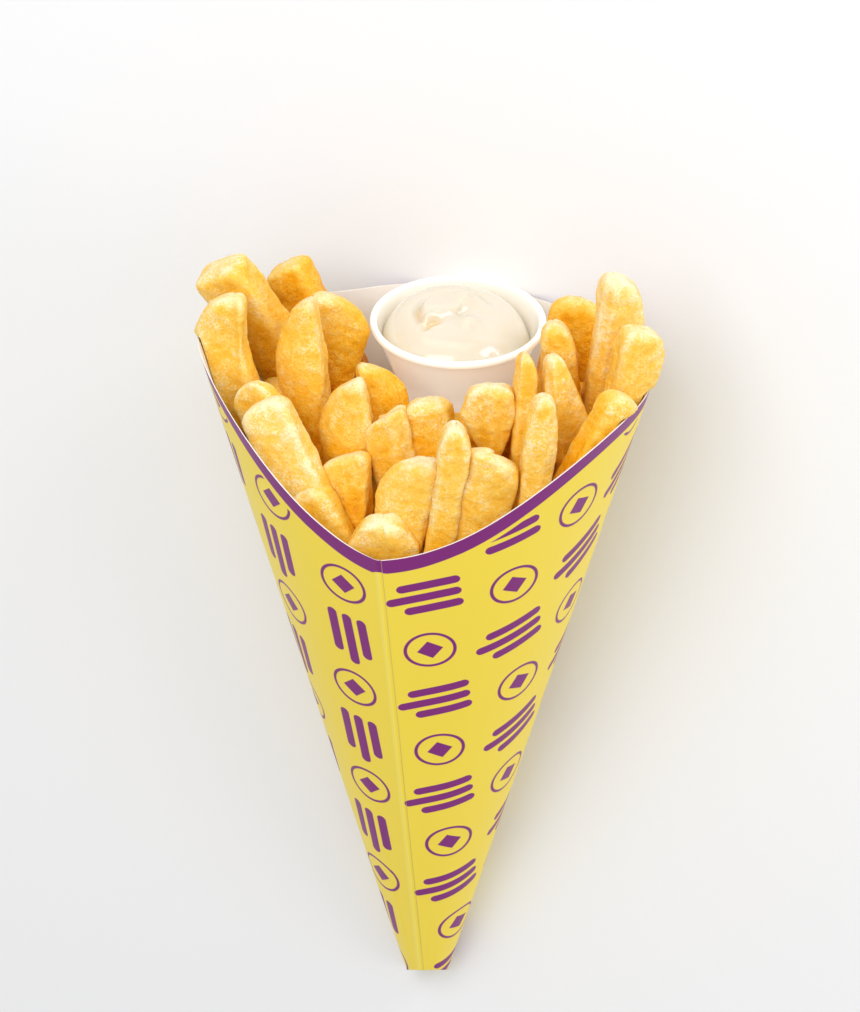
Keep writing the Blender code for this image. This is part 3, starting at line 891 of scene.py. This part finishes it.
@dataclass(frozen=True)
class DipCup:
    """A thin turned cup with a broad rolled lip, leaning back in the mouth of the cone."""

    form: LaidCone
    rim_radius: float = 25.0
    rim_height: float = 246.0
    depth: float = 27.0
    back_gap: float = 1.5
    outer: tuple = ((0.0, 0.6), (13.0, 0.6), (14.5, 0.0), (16.4, 0.0), (17.0, 0.8), (17.5, 5.0),
                    (18.0, 10.0), (20.8, 17.3), (23.4, 24.0), (23.7, 24.6), (24.5, 24.7),
                    (25.0, 25.2), (25.1, 25.9), (24.9, 26.6), (24.3, 27.0))
    inner: tuple = ((23.6, 26.9), (23.1, 26.4), (22.9, 25.6), (22.7, 24.6), (20.2, 17.8),
                    (17.4, 10.4), (16.9, 5.4), (16.3, 1.8), (15.6, 1.2), (13.0, 1.2), (0.0, 1.2))
    sides: int = 128
    clear: float = 0.25

    def centre(self) -> np.ndarray:
        """The middle of the cup's base."""
        back = self.form.slope * math.cos(self.form.back_half) * self.rim_height
        y = back - self.back_gap - self.rim_radius
        return np.array([0.0, y, self.rim_height - self.depth])

    def profile(self) -> np.ndarray:
        """Radius and height from the base's middle over the lip to the inside's middle.

        Each stretch between two points is cut in three by a curve that leans a fifth of the way
        towards its neighbours, which rounds the corners without moving the long walls.
        """
        marks = np.array(self.outer + self.inner)
        ahead = np.concatenate([marks[1:], marks[-1:]])
        behind = np.concatenate([marks[:1], marks[:-1]])
        eased = marks * 0.8 + (ahead + behind) * 0.1
        eased[0], eased[-1] = marks[0], marks[-1]
        place = np.arange(len(eased))
        fine = np.arange(0, len(eased) - 1 + 1e-6, 1 / 3)
        return np.stack([np.interp(fine, place, eased[:, k]) for k in range(2)], axis=-1)

    def build(self) -> bpy.types.Object:
        """Build the cup by turning its profile about its axis."""
        profile = self.profile()[1:-1]
        turn = np.linspace(0, math.tau, self.sides, endpoint=False)
        radius, height = profile[:, :1], profile[:, 1:]
        rings = np.stack([radius * np.cos(turn), radius * np.sin(turn),
                          np.broadcast_to(height, (len(profile), self.sides))], axis=-1)
        lip = len(self.outer)
        # 1 on the outer wall and lip, 0 inside: the painted glow outside, the painted shade inside
        outside = np.interp((np.arange(len(profile)) + 1) / 3, (lip - 1, lip + 5), (1.0, 0.0))
        shell = tube(rings + self.centre(),
                     {"outside": np.broadcast_to(outside[:, None], rings.shape[:2])})
        shell.points = self.form.lay(shell.points)
        piece = make_piece("dip_cup", shell.outward(), [CupPlastic().build()])
        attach(piece, "root")
        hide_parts("sauce_cup")
        return piece

    def keep_outside(self, points: np.ndarray) -> np.ndarray:
        """Push points out of the cup: down from its base or sideways from its wall."""
        centre = self.centre()
        away = points - centre
        radius = np.hypot(away[..., 0], away[..., 1])
        wall = np.array(self.outer)[3:]
        limit = np.interp(away[..., 2], wall[:, 1], wall[:, 0]) + self.clear
        limit = np.where(away[..., 2] > self.depth - 3, self.rim_radius + 0.3, limit)
        aside = limit - radius
        down = away[..., 2] + self.clear
        inside = (aside > 0) & (down > 0)
        lower = inside & (down < aside) & (radius < 16.0)
        outward = inside & ~lower
        scale = np.where(outward, limit / np.maximum(radius, 0.01), 1.0)
        moved = away * np.stack([scale, scale, np.ones_like(scale)], axis=-1)
        moved[..., 2] = np.where(lower, -self.clear, moved[..., 2])
        return moved + centre


@dataclass(frozen=True)
class Sauce:
    """Creamy sauce up to its level: a mound with a folded lobe left by the spoon."""

    cup: DipCup
    level: float = 20.5
    tilt: float = 0.055
    dome: float = 8.6
    dome_power: float = 6.2
    back_power: float = 2.2
    lobe: tuple = (0.2, -1.4, 10.4)
    lobe_rise: float = 2.1
    curls: tuple = ((0.3, 5.0, 4.0, 2.8, 1.3), (4.2, -5.4, 3.0, 3.2, 1.9))
    groove_at: tuple = (-5.2, -8.2)
    groove_way: float = math.radians(46)
    groove_depth: float = 1.2
    rings: int = 96
    sides: int = 200
    gap: float = 0.15

    def from_groove(self, x: np.ndarray, y: np.ndarray) -> tuple[np.ndarray, np.ndarray]:
        """How far along and how far beside the spoon's groove each place lies."""
        off_x, off_y = x - self.groove_at[0], y - self.groove_at[1]
        cos_g, sin_g = math.cos(self.groove_way), math.sin(self.groove_way)
        return off_x * cos_g + off_y * sin_g, off_y * cos_g - off_x * sin_g

    def height(self, x: np.ndarray, y: np.ndarray, radius: np.ndarray) -> np.ndarray:
        """Height over the contact ring.

        A mound that falls with a power of the radius, steeper at the back. On it lies a round
        lobe whose edge shows at the back left and fades out at the front right. Two soft swells
        run one behind the other over it, and a short groove with a lip beside it marks where the
        spoon left.

        Args:
            x: across, from the cup's axis.
            y: towards the back, from the cup's axis.
            radius: of the contact ring in that direction.

        Returns:
            The height in millimetres.
        """
        reach = np.hypot(x, y)
        share = reach / radius
        turn = np.arctan2(y, x)
        power = self.dome_power + self.back_power * np.sin(turn)
        mound = self.dome * (1 - share ** power)
        lobe_x, lobe_y, lobe_reach = self.lobe
        off = np.hypot(x - lobe_x, y - lobe_y)
        from_left = (np.arctan2(y - lobe_y, x - lobe_x) - math.radians(140) + np.pi) \
            % math.tau - np.pi
        strength = smooth_step((math.radians(115) - np.abs(from_left)) / math.radians(70))
        lobe = self.lobe_rise * strength * smooth_step((lobe_reach - off) / 2.2 + 0.5)
        trench = -0.9 * strength * np.exp(-((off - lobe_reach - 1.4) / 1.2) ** 2)
        curl = np.zeros_like(x)
        for middle_x, middle_y, long, wide, rise in self.curls:
            ahead = (x - middle_x) * 0.53 - (y - middle_y) * 0.85
            aside = (x - middle_x) * 0.85 + (y - middle_y) * 0.53
            curl = curl + rise * np.exp(-(ahead / long) ** 2 - (aside / wide) ** 2)
        down, beside = self.from_groove(x, y)
        groove = -self.groove_depth * np.exp(-(down / 3.4) ** 2 - (beside / 1.0) ** 2)
        lip = 0.8 * self.groove_depth * np.exp(-(down / 3.2) ** 2 - ((beside - 1.9) / 1.0) ** 2)
        return mound + lobe + trench + curl + groove + lip

    def build(self) -> bpy.types.Object:
        """Build the sauce: its wall against the cup, then the surface in rings to the middle."""
        centre = self.cup.centre()
        inner = np.array(self.cup.inner)[::-1]
        turn = np.linspace(0, math.tau, self.sides, endpoint=False)
        walls = []
        for radius, height in inner[1:7]:
            if height < self.level - 2:
                ring = radius - self.gap
                walls.append(np.stack([ring * np.cos(turn), ring * np.sin(turn),
                                       np.full(self.sides, height + self.gap)], axis=-1))
        base = self.level - self.tilt * 21.5 * np.cos(turn)
        contact = np.interp(base, inner[:, 1], inner[:, 0]) - self.gap
        share = 1 - (np.arange(self.rings) / self.rings) ** 1.3
        x = contact * share[:, None] * np.cos(turn)
        y = contact * share[:, None] * np.sin(turn)
        rise = self.height(x, y, contact) - self.height(contact * np.cos(turn),
                                                         contact * np.sin(turn), contact)
        z = self.level + rise - self.tilt * x
        surface = np.stack([x, y, z], axis=-1)
        # painted shade: the groove, a ring at the cup wall and the lobe's left edge take the
        # yellowish tint
        down, beside = self.from_groove(x, y)
        painted_hollow_shade = 0.8 * np.exp(-(down / 3.0) ** 2 - (beside / 0.9) ** 2)
        painted_hollow_shade = painted_hollow_shade + 0.45 * smooth_step((np.hypot(x, y) / contact - 0.9) / 0.1)
        lobe_x, lobe_y, lobe_reach = self.lobe
        edge = np.hypot(x - lobe_x, y - lobe_y) - lobe_reach - 0.8
        left = np.exp(-((y - lobe_y + 3.0) / 4.0) ** 2) * (x < lobe_x)
        painted_hollow_shade = painted_hollow_shade + 0.7 * left * np.exp(-(edge / 1.0) ** 2)
        plain = np.zeros((len(walls), self.sides))
        shell = tube(np.concatenate([np.array(walls), surface]) + centre,
                     {"painted_hollow_shade": np.concatenate([plain, painted_hollow_shade])})
        shell.points = self.cup.form.lay(shell.points)
        piece = make_piece("dip_sauce", shell.outward(), [CreamySauce().build()])
        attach(piece, "root")
        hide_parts("sauce")
        return piece


# ---------------------------------------------------------------- the fries


@dataclass(frozen=True)
class Fry:
    """One fry, from tip to foot in upright millimetres.

    left and right are its half widths at the tip, at the belly and at the foot, seen on the face
    that looks to the azimuth turn, in degrees; belly is how far the widest place is from the tip.
    slant raises the right of the end, per millimetre across. A ridge runs down the face at its
    place (-1 left, 1 right) and the face falls away from it by facet. torn holds (place, drop) of
    each step in the end, folds (place, rise, width) of each crease down the face. tone is the
    crust's paleness, end the length over which the end rounds off, bow its bend to the right.
    """

    tip: tuple[float, float, float]
    foot: tuple[float, float, float]
    left: tuple[float, float, float]
    right: tuple[float, float, float]
    belly: float
    thick: float
    turn: float
    cut: Cut = Cut.BATON
    tone: float = 0.0
    slant: float = 0.0
    ridge: float = 0.0
    facet: float = 0.0
    torn: tuple = ()
    folds: tuple = ()
    end: float = 3.6
    bow: float = 0.0


FRIES = (
    # left side, from the back wall round to the rim's low front
    Fry((-60, 0, 272), (-20.4, 9, 202), (7.2, 7.4, 7), (7, 7.2, 7), 8, 12, -5, tone=-0.3, end=2.4),
    Fry((-48.2, 24, 261.3), (-14, 17, 202), (6, 6.4, 6), (5.6, 6, 6), 6, 11, 0, tone=-0.1, end=2.6),
    Fry((-50.4, -16, 273), (-48.2, -19.5, 231.7), (3, 11.8, 8.5), (3.4, 2.4, 9.6), 15, 8, 4,
        Cut.PLANK, 0.05, folds=((0.8, 0.4, 0.35), (0.0, -0.6, 0.4)), end=4),
    Fry((-33.4, -4, 268), (-23, -20, 202), (1, 11.1, 0.5), (0.8, 3.2, 4), 20, 10, 8, Cut.SLICE,
        0.1),
    Fry((-35.4, 12, 260), (-29, 7.5, 229), (2, 3, 3), (2, 12.6, 2), 13.5, 9, 16, Cut.SLICE,
        0.45),
    Fry((-45.3, -24.6, 250.9), (-25.7, -30.6, 218), (4, 7, 7), (4, 6.6, 6), 8, 5, 0, Cut.PLANK,
        -0.1, folds=((-0.2, -1.0, 0.5),), end=5),
    Fry((-38.4, -31, 250.6), (-12.6, -42, 202), (6, 7.8, 8.5), (5.4, 6.4, 6.6), 7, 9, 6,
        Cut.PLANK, 0.7, end=4),
    Fry((-24.8, -39.4, 229.8), (-4.5, -43, 196), (5, 7.8, 8.5), (4.4, 6, 5), 7, 8, 4, Cut.PLANK, 0.4,
        end=4),
    # middle, in front of the cup
    Fry((-18.6, -4, 249.3), (-4, -19, 202), (1.6, 2.1, 3), (2, 11, 6), 9, 9, 20, Cut.SLICE, -0.1,
        slant=-0.15),
    Fry((-16.9, -15, 251.2), (-6.5, -26, 202), (1.5, 13.2, 12), (1.5, 2.4, 3), 16, 10, 8,
        Cut.SLICE, 0.38),
    Fry((-15.2, -28, 235.5), (-8.5, -35.7, 213.9), (8.4, 9, 0.3), (4.4, 4.8, 0.3), 3, 8, 6,
        Cut.WEDGE, 0.3, slant=0.08, end=2.4),
    Fry((-7.7, -20, 243.4), (6, -30, 202), (5.3, 7, 7), (5.3, 6.2, 6), 9, 10, 10, Cut.PLANK, 0.3,
        slant=0.2, ridge=0.25, facet=0.45, torn=((-0.6, -0.9), (0.2, -0.9)), end=2),
    Fry((2.1, -12, 246.2), (11, -24, 202), (4.6, 6.8, 7), (4.4, 6.6, 6.4), 6, 10, 10, tone=0.15,
        end=4),
    Fry((8.6, -36, 242.2), (4.4, -42, 202), (4.6, 12.8, 9), (2.8, 3, 1), 13, 10, 8, Cut.SLICE,
        0.4),
    Fry((-1.2, -46.5, 228.3), (0.4, -43, 200), (5.6, 10.6, 11), (3.4, 8.6, 9), 8, 9, 10, Cut.WEDGE,
        0.6, ridge=0.3, facet=0.45, end=2.6),
    Fry((19.5, -13, 254), (21.6, -18.1, 231.5), (4.6, 8.2, 0.3), (6, 7.4, 0.3), 8, 9, 12,
        Cut.WEDGE, 0.2, ridge=0.1, facet=0.25, end=3),
    Fry((16.1, -36, 255.2), (11.5, -43, 202), (1, 3.8, 4), (1, 4.7, 1.8), 10, 9, 12, tone=0.3,
        end=4),
    Fry((25.2, -34, 246), (15.4, -41, 202), (6.2, 5.4, 4.5), (7, 9, 8), 10, 8, 14, Cut.PLANK, 0.15,
        slant=-0.05, ridge=0.12, facet=0.3, torn=((0.25, 2.6), (-0.5, -0.5)), end=2),
    # right side
    Fry((28.1, -8, 262.4), (29.7, -26, 202), (1, 1.8, 3.4), (1, 4.2, 3.4), 10, 8, 20, tone=0.05,
        end=4),
    Fry((37.8, -26, 261.3), (33, -37, 202), (2, 3.8, 3), (2.2, 4.7, 2.5), 16, 9, 20, tone=0.15,
        ridge=0.3, facet=0.3, end=4),
    Fry((35.8, -8, 262.7), (41.4, -14.7, 232), (2.4, 4, 2.5), (2.4, 7.9, 0.5), 19, 9, 24,
        Cut.WEDGE, 0.1, ridge=-0.3, facet=0.5, end=4),
    Fry((32.2, 8, 263.3), (42, -5, 202), (1.8, 4.7, 4.8), (1.8, 5.6, 5), 13, 9, 15, Cut.BATON,
        -0.05, end=4),
    Fry((35.2, 28, 260.2), (27.6, 17, 202), (4.4, 7, 7), (6, 9, 9), 8, 8, 12, Cut.SLICE, 0.3,
        end=5),
    Fry((47.5, 14, 276.9), (44, -1, 202), (2.4, 3.3, 7), (2.4, 9.4, 8.4), 14, 11, 18, tone=0.7,
        ridge=-0.1, facet=0.4, end=4),
    Fry((57.8, 0, 269.6), (49.5, -15, 202), (3.6, 4.8, 5), (4, 7.6, 8), 7, 11, 26, tone=0.1,
        ridge=-0.25, facet=0.45, end=3),
    Fry((56.2, -16.4, 258.7), (32.4, -34, 202), (3.2, 3.8, 3.5), (4.6, 7.2, 7.4), 5, 9, 40, Cut.PLANK,
        -0.5, ridge=0.3, facet=0.35, end=4),
)

DEEP_TIPS = (
    (-31, -20, 228), (-40, 8, 240), (-22, 2, 232), (-10, -38, 212), (8, -26, 228), (9, -4, 236),
    (29, -24, 230), (46, -6, 240), (40, 14, 240), (22, 0, 236), (-12, 26, 219), (12, 26, 219),
    (0, 42, 219), (0, 12, 219), (2, -40, 214), (-30, 34, 220), (30, 36, 228), (-20, 46, 212),
    (20, 47, 220), (-41, -9, 243), (-46, -6, 226), (46, -18, 226), (16, -44, 214), (-16, -34, 208),
)


@dataclass(frozen=True)
class FryHeap:
    """The loose fries over a smaller core that fills the cone below them, coloured in painted shade.
    """

    form: LaidCone
    cup: DipCup
    layers: int = 84
    sides: int = 100
    cut_power: float = 0.42
    skin_power: float = 0.85
    end_power: float = 2.4
    end_share: float = 0.02
    slice_thinning: float = 0.3
    swell: float = 0.42
    dimple: float = 0.24
    crumb: float = 0.14
    deep_length: float = 0.2
    core_top: float = 200.0
    board_gap: float = 0.2
    # the heap's top level, rising towards the back, and the fall below it over which the painted
    # shade deepens
    level_front: float = 265.0
    level_rise: float = 0.6
    level_depth: float = 46.0

    def half_widths(self, fry: Fry, along: np.ndarray, length: float) -> list[np.ndarray]:
        """Half widths to the left and to the right at distances from the tip.

        From the tip to the belly they swell like a round (a wedge goes straight), and from
        there they change with a power of the distance towards the foot.
        """
        before = np.clip(along / fry.belly, 0, 1)
        beyond = np.clip((along - fry.belly) / (length - fry.belly), 0, 1) ** 1.2
        rise = before if fry.cut is Cut.WEDGE else (1 - (1 - before) ** 2) ** 0.7
        return [tip + (belly - tip) * rise + (foot - belly) * beyond
                for tip, belly, foot in (fry.left, fry.right)]

    def section(self, fry: Fry, sides: int) -> tuple[np.ndarray, np.ndarray]:
        """Places across and in depth round a unit section, evenly spaced along its outline.

        Cosine and sine raised to a power below one: the lower the power, the squarer. The skin
        side of a half slice is rounder than its cut side.
        """
        fine = np.linspace(0, math.tau, 1441)
        cos_a, sin_a = np.cos(fine), np.sin(fine)
        left = fry.left[1] > fry.right[1]
        skin = (cos_a < 0) == left
        power = np.where(skin & (fry.cut is Cut.SLICE), self.skin_power, self.cut_power)
        wide = np.sign(cos_a) * np.abs(cos_a) ** power
        deep = np.sign(sin_a) * np.abs(sin_a) ** power
        half = np.where(cos_a < 0, fry.left[1], fry.right[1])
        step = np.hypot(np.diff(wide * half), np.diff(deep * fry.thick / 2))
        reach = np.concatenate([[0.0], np.cumsum(step)])
        even = np.linspace(0, reach[-1], sides, endpoint=False)
        return (np.interp(even, reach, wide)[None, :], np.interp(even, reach, deep)[None, :])

    def shape(self, fry: Fry, seed: int, layers: int, sides: int) -> Shell:
        """One fry as a closed grid.

        Each ring is the section scaled by the half widths and the thickness, and closes in at
        both ends. Facets, folds and a torn end follow the place across the wide face, and noise
        of three sizes pushes the surface in and out.

        Args:
            fry: its place and cut.
            seed: fixes its lumps.
            layers: rings along it.
            sides: points round it.

        Returns:
            The shell in upright millimetres.
        """
        tip = np.array(fry.tip, float)
        axis = tip - np.array(fry.foot, float)
        length = float(np.linalg.norm(axis))
        axis /= length
        turn = math.radians(fry.turn)
        facing = np.array([math.sin(turn), -math.cos(turn), 0.0])
        facing -= axis * float(facing @ axis)
        facing /= np.linalg.norm(facing)
        across = np.cross(axis, facing)
        if across[0] * math.cos(turn) + across[1] * math.sin(turn) < 0:
            across = -across
        ease = np.linspace(0, np.pi, layers + 1)
        along = (length * (0.6 * (1 - np.cos(ease)) / 2 + 0.4 * ease / np.pi))[:, None]
        wide, deep = self.section(fry, sides)
        left, right = self.half_widths(fry, along, length)
        near = np.clip(np.minimum(along, length - along) / fry.end, 0, 1)
        cap = (1 - (1 - near) ** self.end_power) ** (1 / self.end_power)
        cap = np.maximum(cap, self.end_share)
        thin = 1 - self.slice_thinning * wide ** 2 * (fry.cut is Cut.SLICE)
        shown = np.clip(deep * 3, 0, 1)
        fall = np.abs(wide - fry.ridge) / (1 - fry.ridge * np.sign(wide - fry.ridge))
        facet = 1 - fry.facet * shown * fall ** 1.1
        fold = np.zeros_like(wide)
        for place, rise, spread in fry.folds:
            fold = fold + rise * np.exp(-((wide - place) / spread) ** 2) * shown
        phase = np.random.default_rng(seed).uniform(0, 2 * np.pi, 4)
        lump = 0.3 * np.sin(along / 9 + phase[0] + 2 * wide)
        lump = lump + 0.18 * np.sin(along / 5 + phase[1] - 3 * deep)
        half = np.where(wide < 0, left, right)
        offset_x = (wide * half + np.sign(wide) * np.minimum(np.abs(wide) * 3, 1) * lump) * cap
        offset_y = deep * (fry.thick / 2 * thin * facet + 0.5 * lump) * cap + fold * cap
        lean = np.exp(-(along / (left + right)) ** 2)
        rough_end = 0.2 * np.sin(wide * 5.1 + phase[2]) + 0.12 * np.sin(wide * 11.3 + phase[3])
        for place, drop in fry.torn:
            rough_end = rough_end - drop * smooth_step((wide - place) / 0.1 + 0.5)
        shear = (fry.slant * offset_x + rough_end * cap * 0.8) * lean
        bend = fry.bow * np.sin(np.pi * along / length)
        points = tip + across * (offset_x + bend)[..., None] + facing * offset_y[..., None]
        points = points + axis * (shear - along)[..., None]
        corner = np.clip(np.abs(wide * deep) * 1.8 - 0.8, 0, 1)
        points = self.roughen(points, seed, near, corner)
        ridged = np.exp(-((wide - fry.ridge) / 0.2) ** 2) * shown * (fry.facet > 0)
        ends = (1 - near) ** 1.5 * (along < length / 2)
        crust = np.clip(corner * 0.8 + ridged * 0.22 + ends, 0, 1)
        # painted shade: depth goes from 0 at the heap's top level to 1 further down, and darkens the
        # crust's colour
        level = self.level_front + self.level_rise * points[..., 1]
        values = {"crust": crust, "depth": smooth_step((level - points[..., 2])
                                                       / self.level_depth),
                  "tone": np.full((layers + 1, sides), fry.tone)}
        points = self.form.keep_inside(self.cup.keep_outside(points), self.board_gap)
        return tube(points, values).outward()

    def roughen(self, points: np.ndarray, seed: int, near: np.ndarray,
                corner: np.ndarray) -> np.ndarray:
        """Push a grid out and in along its normals by three sizes of noise, most at corners."""
        round_way = np.roll(points, -1, axis=1) - np.roll(points, 1, axis=1)
        down = np.gradient(points, axis=0)
        normal = np.cross(round_way, down)
        normal /= np.maximum(np.linalg.norm(normal, axis=-1, keepdims=True), 1e-9)
        middle = points.mean(axis=(0, 1))
        if ((points - middle) * normal).sum() < 0:
            normal = -normal
        push = self.swell * value_noise(points, 9.0, seed + 11)
        push = push + self.dimple * (1 + corner) * value_noise(points, 3.6, seed + 57)
        push = push + self.crumb * (1 + corner) * value_noise(points, 1.4, seed + 91)
        return points + normal * (push * (0.35 + 0.65 * near))[..., None]

    def core(self) -> Shell:
        """The heap below: the cone's inside, a little smaller, with a lumpy domed top."""
        turn = np.linspace(-np.pi, np.pi, 160, endpoint=False)[None, :]
        heights = np.linspace(self.form.tip + 7.0, self.core_top, 70)[:, None]
        wall = self.form.on(np.broadcast_to(turn, (70, 160)),
                            np.broadcast_to(heights, (70, 160)), self.form.board + 1.2)
        share = np.cos(np.linspace(0, np.pi / 2, 26))[1:-1, None, None]
        top = wall[-1] * np.concatenate([share, share, np.ones_like(share)], axis=-1)
        lump = value_noise(top, 9.0, 3) * 3 + value_noise(top, 4.0, 4) * 1.2
        top[..., 2] += lump * (1 - share[..., 0]) + 3 * (1 - share[..., 0])
        points = np.concatenate([wall, top])
        grid = np.zeros(points.shape[:2])
        # painted shade: the core takes full depth and a low tone, the darkest colour
        values = {"crust": grid, "depth": grid + 1.0, "tone": grid - 0.6}
        return tube(points, values).outward()

    def build(self) -> list[bpy.types.Object]:
        """Build every fry, sort them by cut into pieces and dress them."""
        crust = FriedCrust().build()
        kinds: dict[str, list[Shell]] = {cut.value: [] for cut in Cut}
        kinds["fries_below"] = []
        for seed, fry in enumerate(FRIES):
            kinds[fry.cut.value].append(self.shape(fry, seed, self.layers, self.sides))
        for seed, tip in enumerate(DEEP_TIPS, start=len(FRIES)):
            foot = tuple(value * (1 - self.deep_length) for value in tip)
            half = (5.0, 6.5, 7.0)
            # painted shade: the fries below take a low tone, darker than the loose fries above
            fry = Fry(tip, foot, half, half, 8, 11.0, 20.0 * math.sin(tip[0]), tone=-0.5)
            kinds["fries_below"].append(self.shape(fry, seed, 40, 48))
        kinds["fries_core"] = [self.core()]
        pieces = []
        for name, shells in kinds.items():
            whole = joined(shells)
            whole.points = self.form.lay(whole.points)
            piece = make_piece(name, whole, [crust])
            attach(piece, "root")
            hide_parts("fries")
            pieces.append(piece)
        return pieces


# ---------------------------------------------------------------- the studio


@dataclass(frozen=True)
class Softbox:
    """An area light placed in the camera's own directions, in metres from the object."""

    name: str
    right: float
    up: float
    back: float
    width: float
    height: float
    watts: float
    colour: str = "FFFFFF"


@dataclass(frozen=True)
class Studio:
    """Pale floor, soft light and the camera, which looks down on the lying cone."""

    form: LaidCone
    azimuth: float = math.radians(13.97)
    rise: float = math.radians(34.08)
    roll: float = math.radians(0.335)
    away: float = 861.0
    look: tuple[float, float, float] = (0.06, 0.0, 202.5)
    lens: float = 108.18
    floor_colour: str = "EFEFF0"
    boxes: tuple[Softbox, ...] = (
        Softbox("key", -0.3, 0.2, 0.95, 0.6, 0.6, 4.65, "FFFEFB"),
        Softbox("pane_left", 0.62, 0.5, 0.6, 0.26, 0.3, 1.35, "FFFFFF"),
        Softbox("pane_right", 0.8, 0.36, 0.5, 0.13, 0.28, 0.65, "FFFFFF"),
        Softbox("side", 0.8, -0.3, 0.7, 0.5, 0.5, 1.5, "FFFFFF"),
        Softbox("mouth", -0.1, 0.82, 0.56, 0.8, 0.35, 0.9, "FFFFFF"),
    )
    sky: str = "FCFDFF"
    sky_strength: float = 0.66

    def axes(self) -> tuple[Vector, Vector, Vector]:
        """The camera's right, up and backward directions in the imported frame."""
        back = np.array([math.sin(self.azimuth) * math.cos(self.rise),
                         -math.cos(self.azimuth) * math.cos(self.rise), math.sin(self.rise)])
        right = np.cross(-back, (0.0, 0.0, 1.0))
        right /= np.linalg.norm(right)
        up = np.cross(right, -back)
        cos_r, sin_r = math.cos(self.roll), math.sin(self.roll)
        right, up = right * cos_r + up * sin_r, up * cos_r - right * sin_r
        return tuple(Vector(self.form.turned(way)) for way in (right, up, back))

    def place_camera(self) -> None:
        """Set the camera where the cone is seen from above its right front."""
        right, up, back = self.axes()
        target = Vector(self.form.lay(np.array(self.look)))
        data = bpy.data.cameras.new("camera")
        data.lens = self.lens
        data.sensor_width = 36.0
        data.clip_start = 0.01
        camera = bpy.data.objects.new("camera", data)
        turn = Matrix((right, up, back)).transposed().to_4x4()
        camera.matrix_world = Matrix.Translation(target + back * self.away * MM) @ turn
        bpy.context.scene.collection.objects.link(camera)
        bpy.context.scene.camera = camera

    def place_lights(self) -> None:
        """Hang the softboxes and set the even sky."""
        right, up, back = self.axes()
        target = Vector(self.form.lay(np.array(self.look)))
        for box in self.boxes:
            data = bpy.data.lights.new(box.name, "AREA")
            data.shape = "RECTANGLE"
            data.size, data.size_y = box.width, box.height
            data.energy = box.watts
            data.color = linear(box.colour)[:3]
            lamp = bpy.data.objects.new(box.name, data)
            place = target + right * box.right + up * box.up + back * box.back
            lamp.location = place
            lamp.rotation_euler = (target - place).to_track_quat("-Z", "Y").to_euler()
            bpy.context.scene.collection.objects.link(lamp)
        world = bpy.data.worlds.new("studio")
        world.use_nodes = True
        world.node_tree.nodes.clear()
        sky = add(world.node_tree, "ShaderNodeBackground",
                  {"Color": linear(self.sky), "Strength": self.sky_strength})
        add(world.node_tree, "ShaderNodeOutputWorld", {0: sky.outputs[0]})
        bpy.context.scene.world = world

    def place_floor(self) -> None:
        """Lay the plain pale floor."""
        material, tree = blank("matt_studio_floor")
        surface = add(tree, "ShaderNodeBsdfPrincipled",
                      {"Base Color": linear(self.floor_colour), "Roughness": 0.9,
                       "Specular IOR Level": 0.2})
        add(tree, "ShaderNodeOutputMaterial", {0: surface.outputs[0]})
        side = 3.0
        corners = [(-side, -side, 0), (side, -side, 0), (side, side, 0), (-side, side, 0)]
        mesh = bpy.data.meshes.new("floor")
        mesh.from_pydata(corners, [], [(0, 1, 2, 3)])
        mesh.materials.append(material)
        floor = bpy.data.objects.new("floor", mesh)
        bpy.context.scene.collection.objects.link(floor)

    def build(self) -> None:
        """Set up floor, lights and camera."""
        self.place_floor()
        self.place_lights()
        self.place_camera()
        bpy.context.scene.view_settings.view_transform = "Standard"


def main() -> None:
    """Build the cone, the cup, the sauce, the fries and the studio, in that order."""
    logging.basicConfig(level=logging.INFO, format="%(message)s")
    form = LaidCone()
    cup = DipCup(form)
    ConeBoard(form).build()
    cup.build()
    Sauce(cup).build()
    FryHeap(form, cup).build()
    Studio(form).build()


if __name__ == "__main__":
    main()
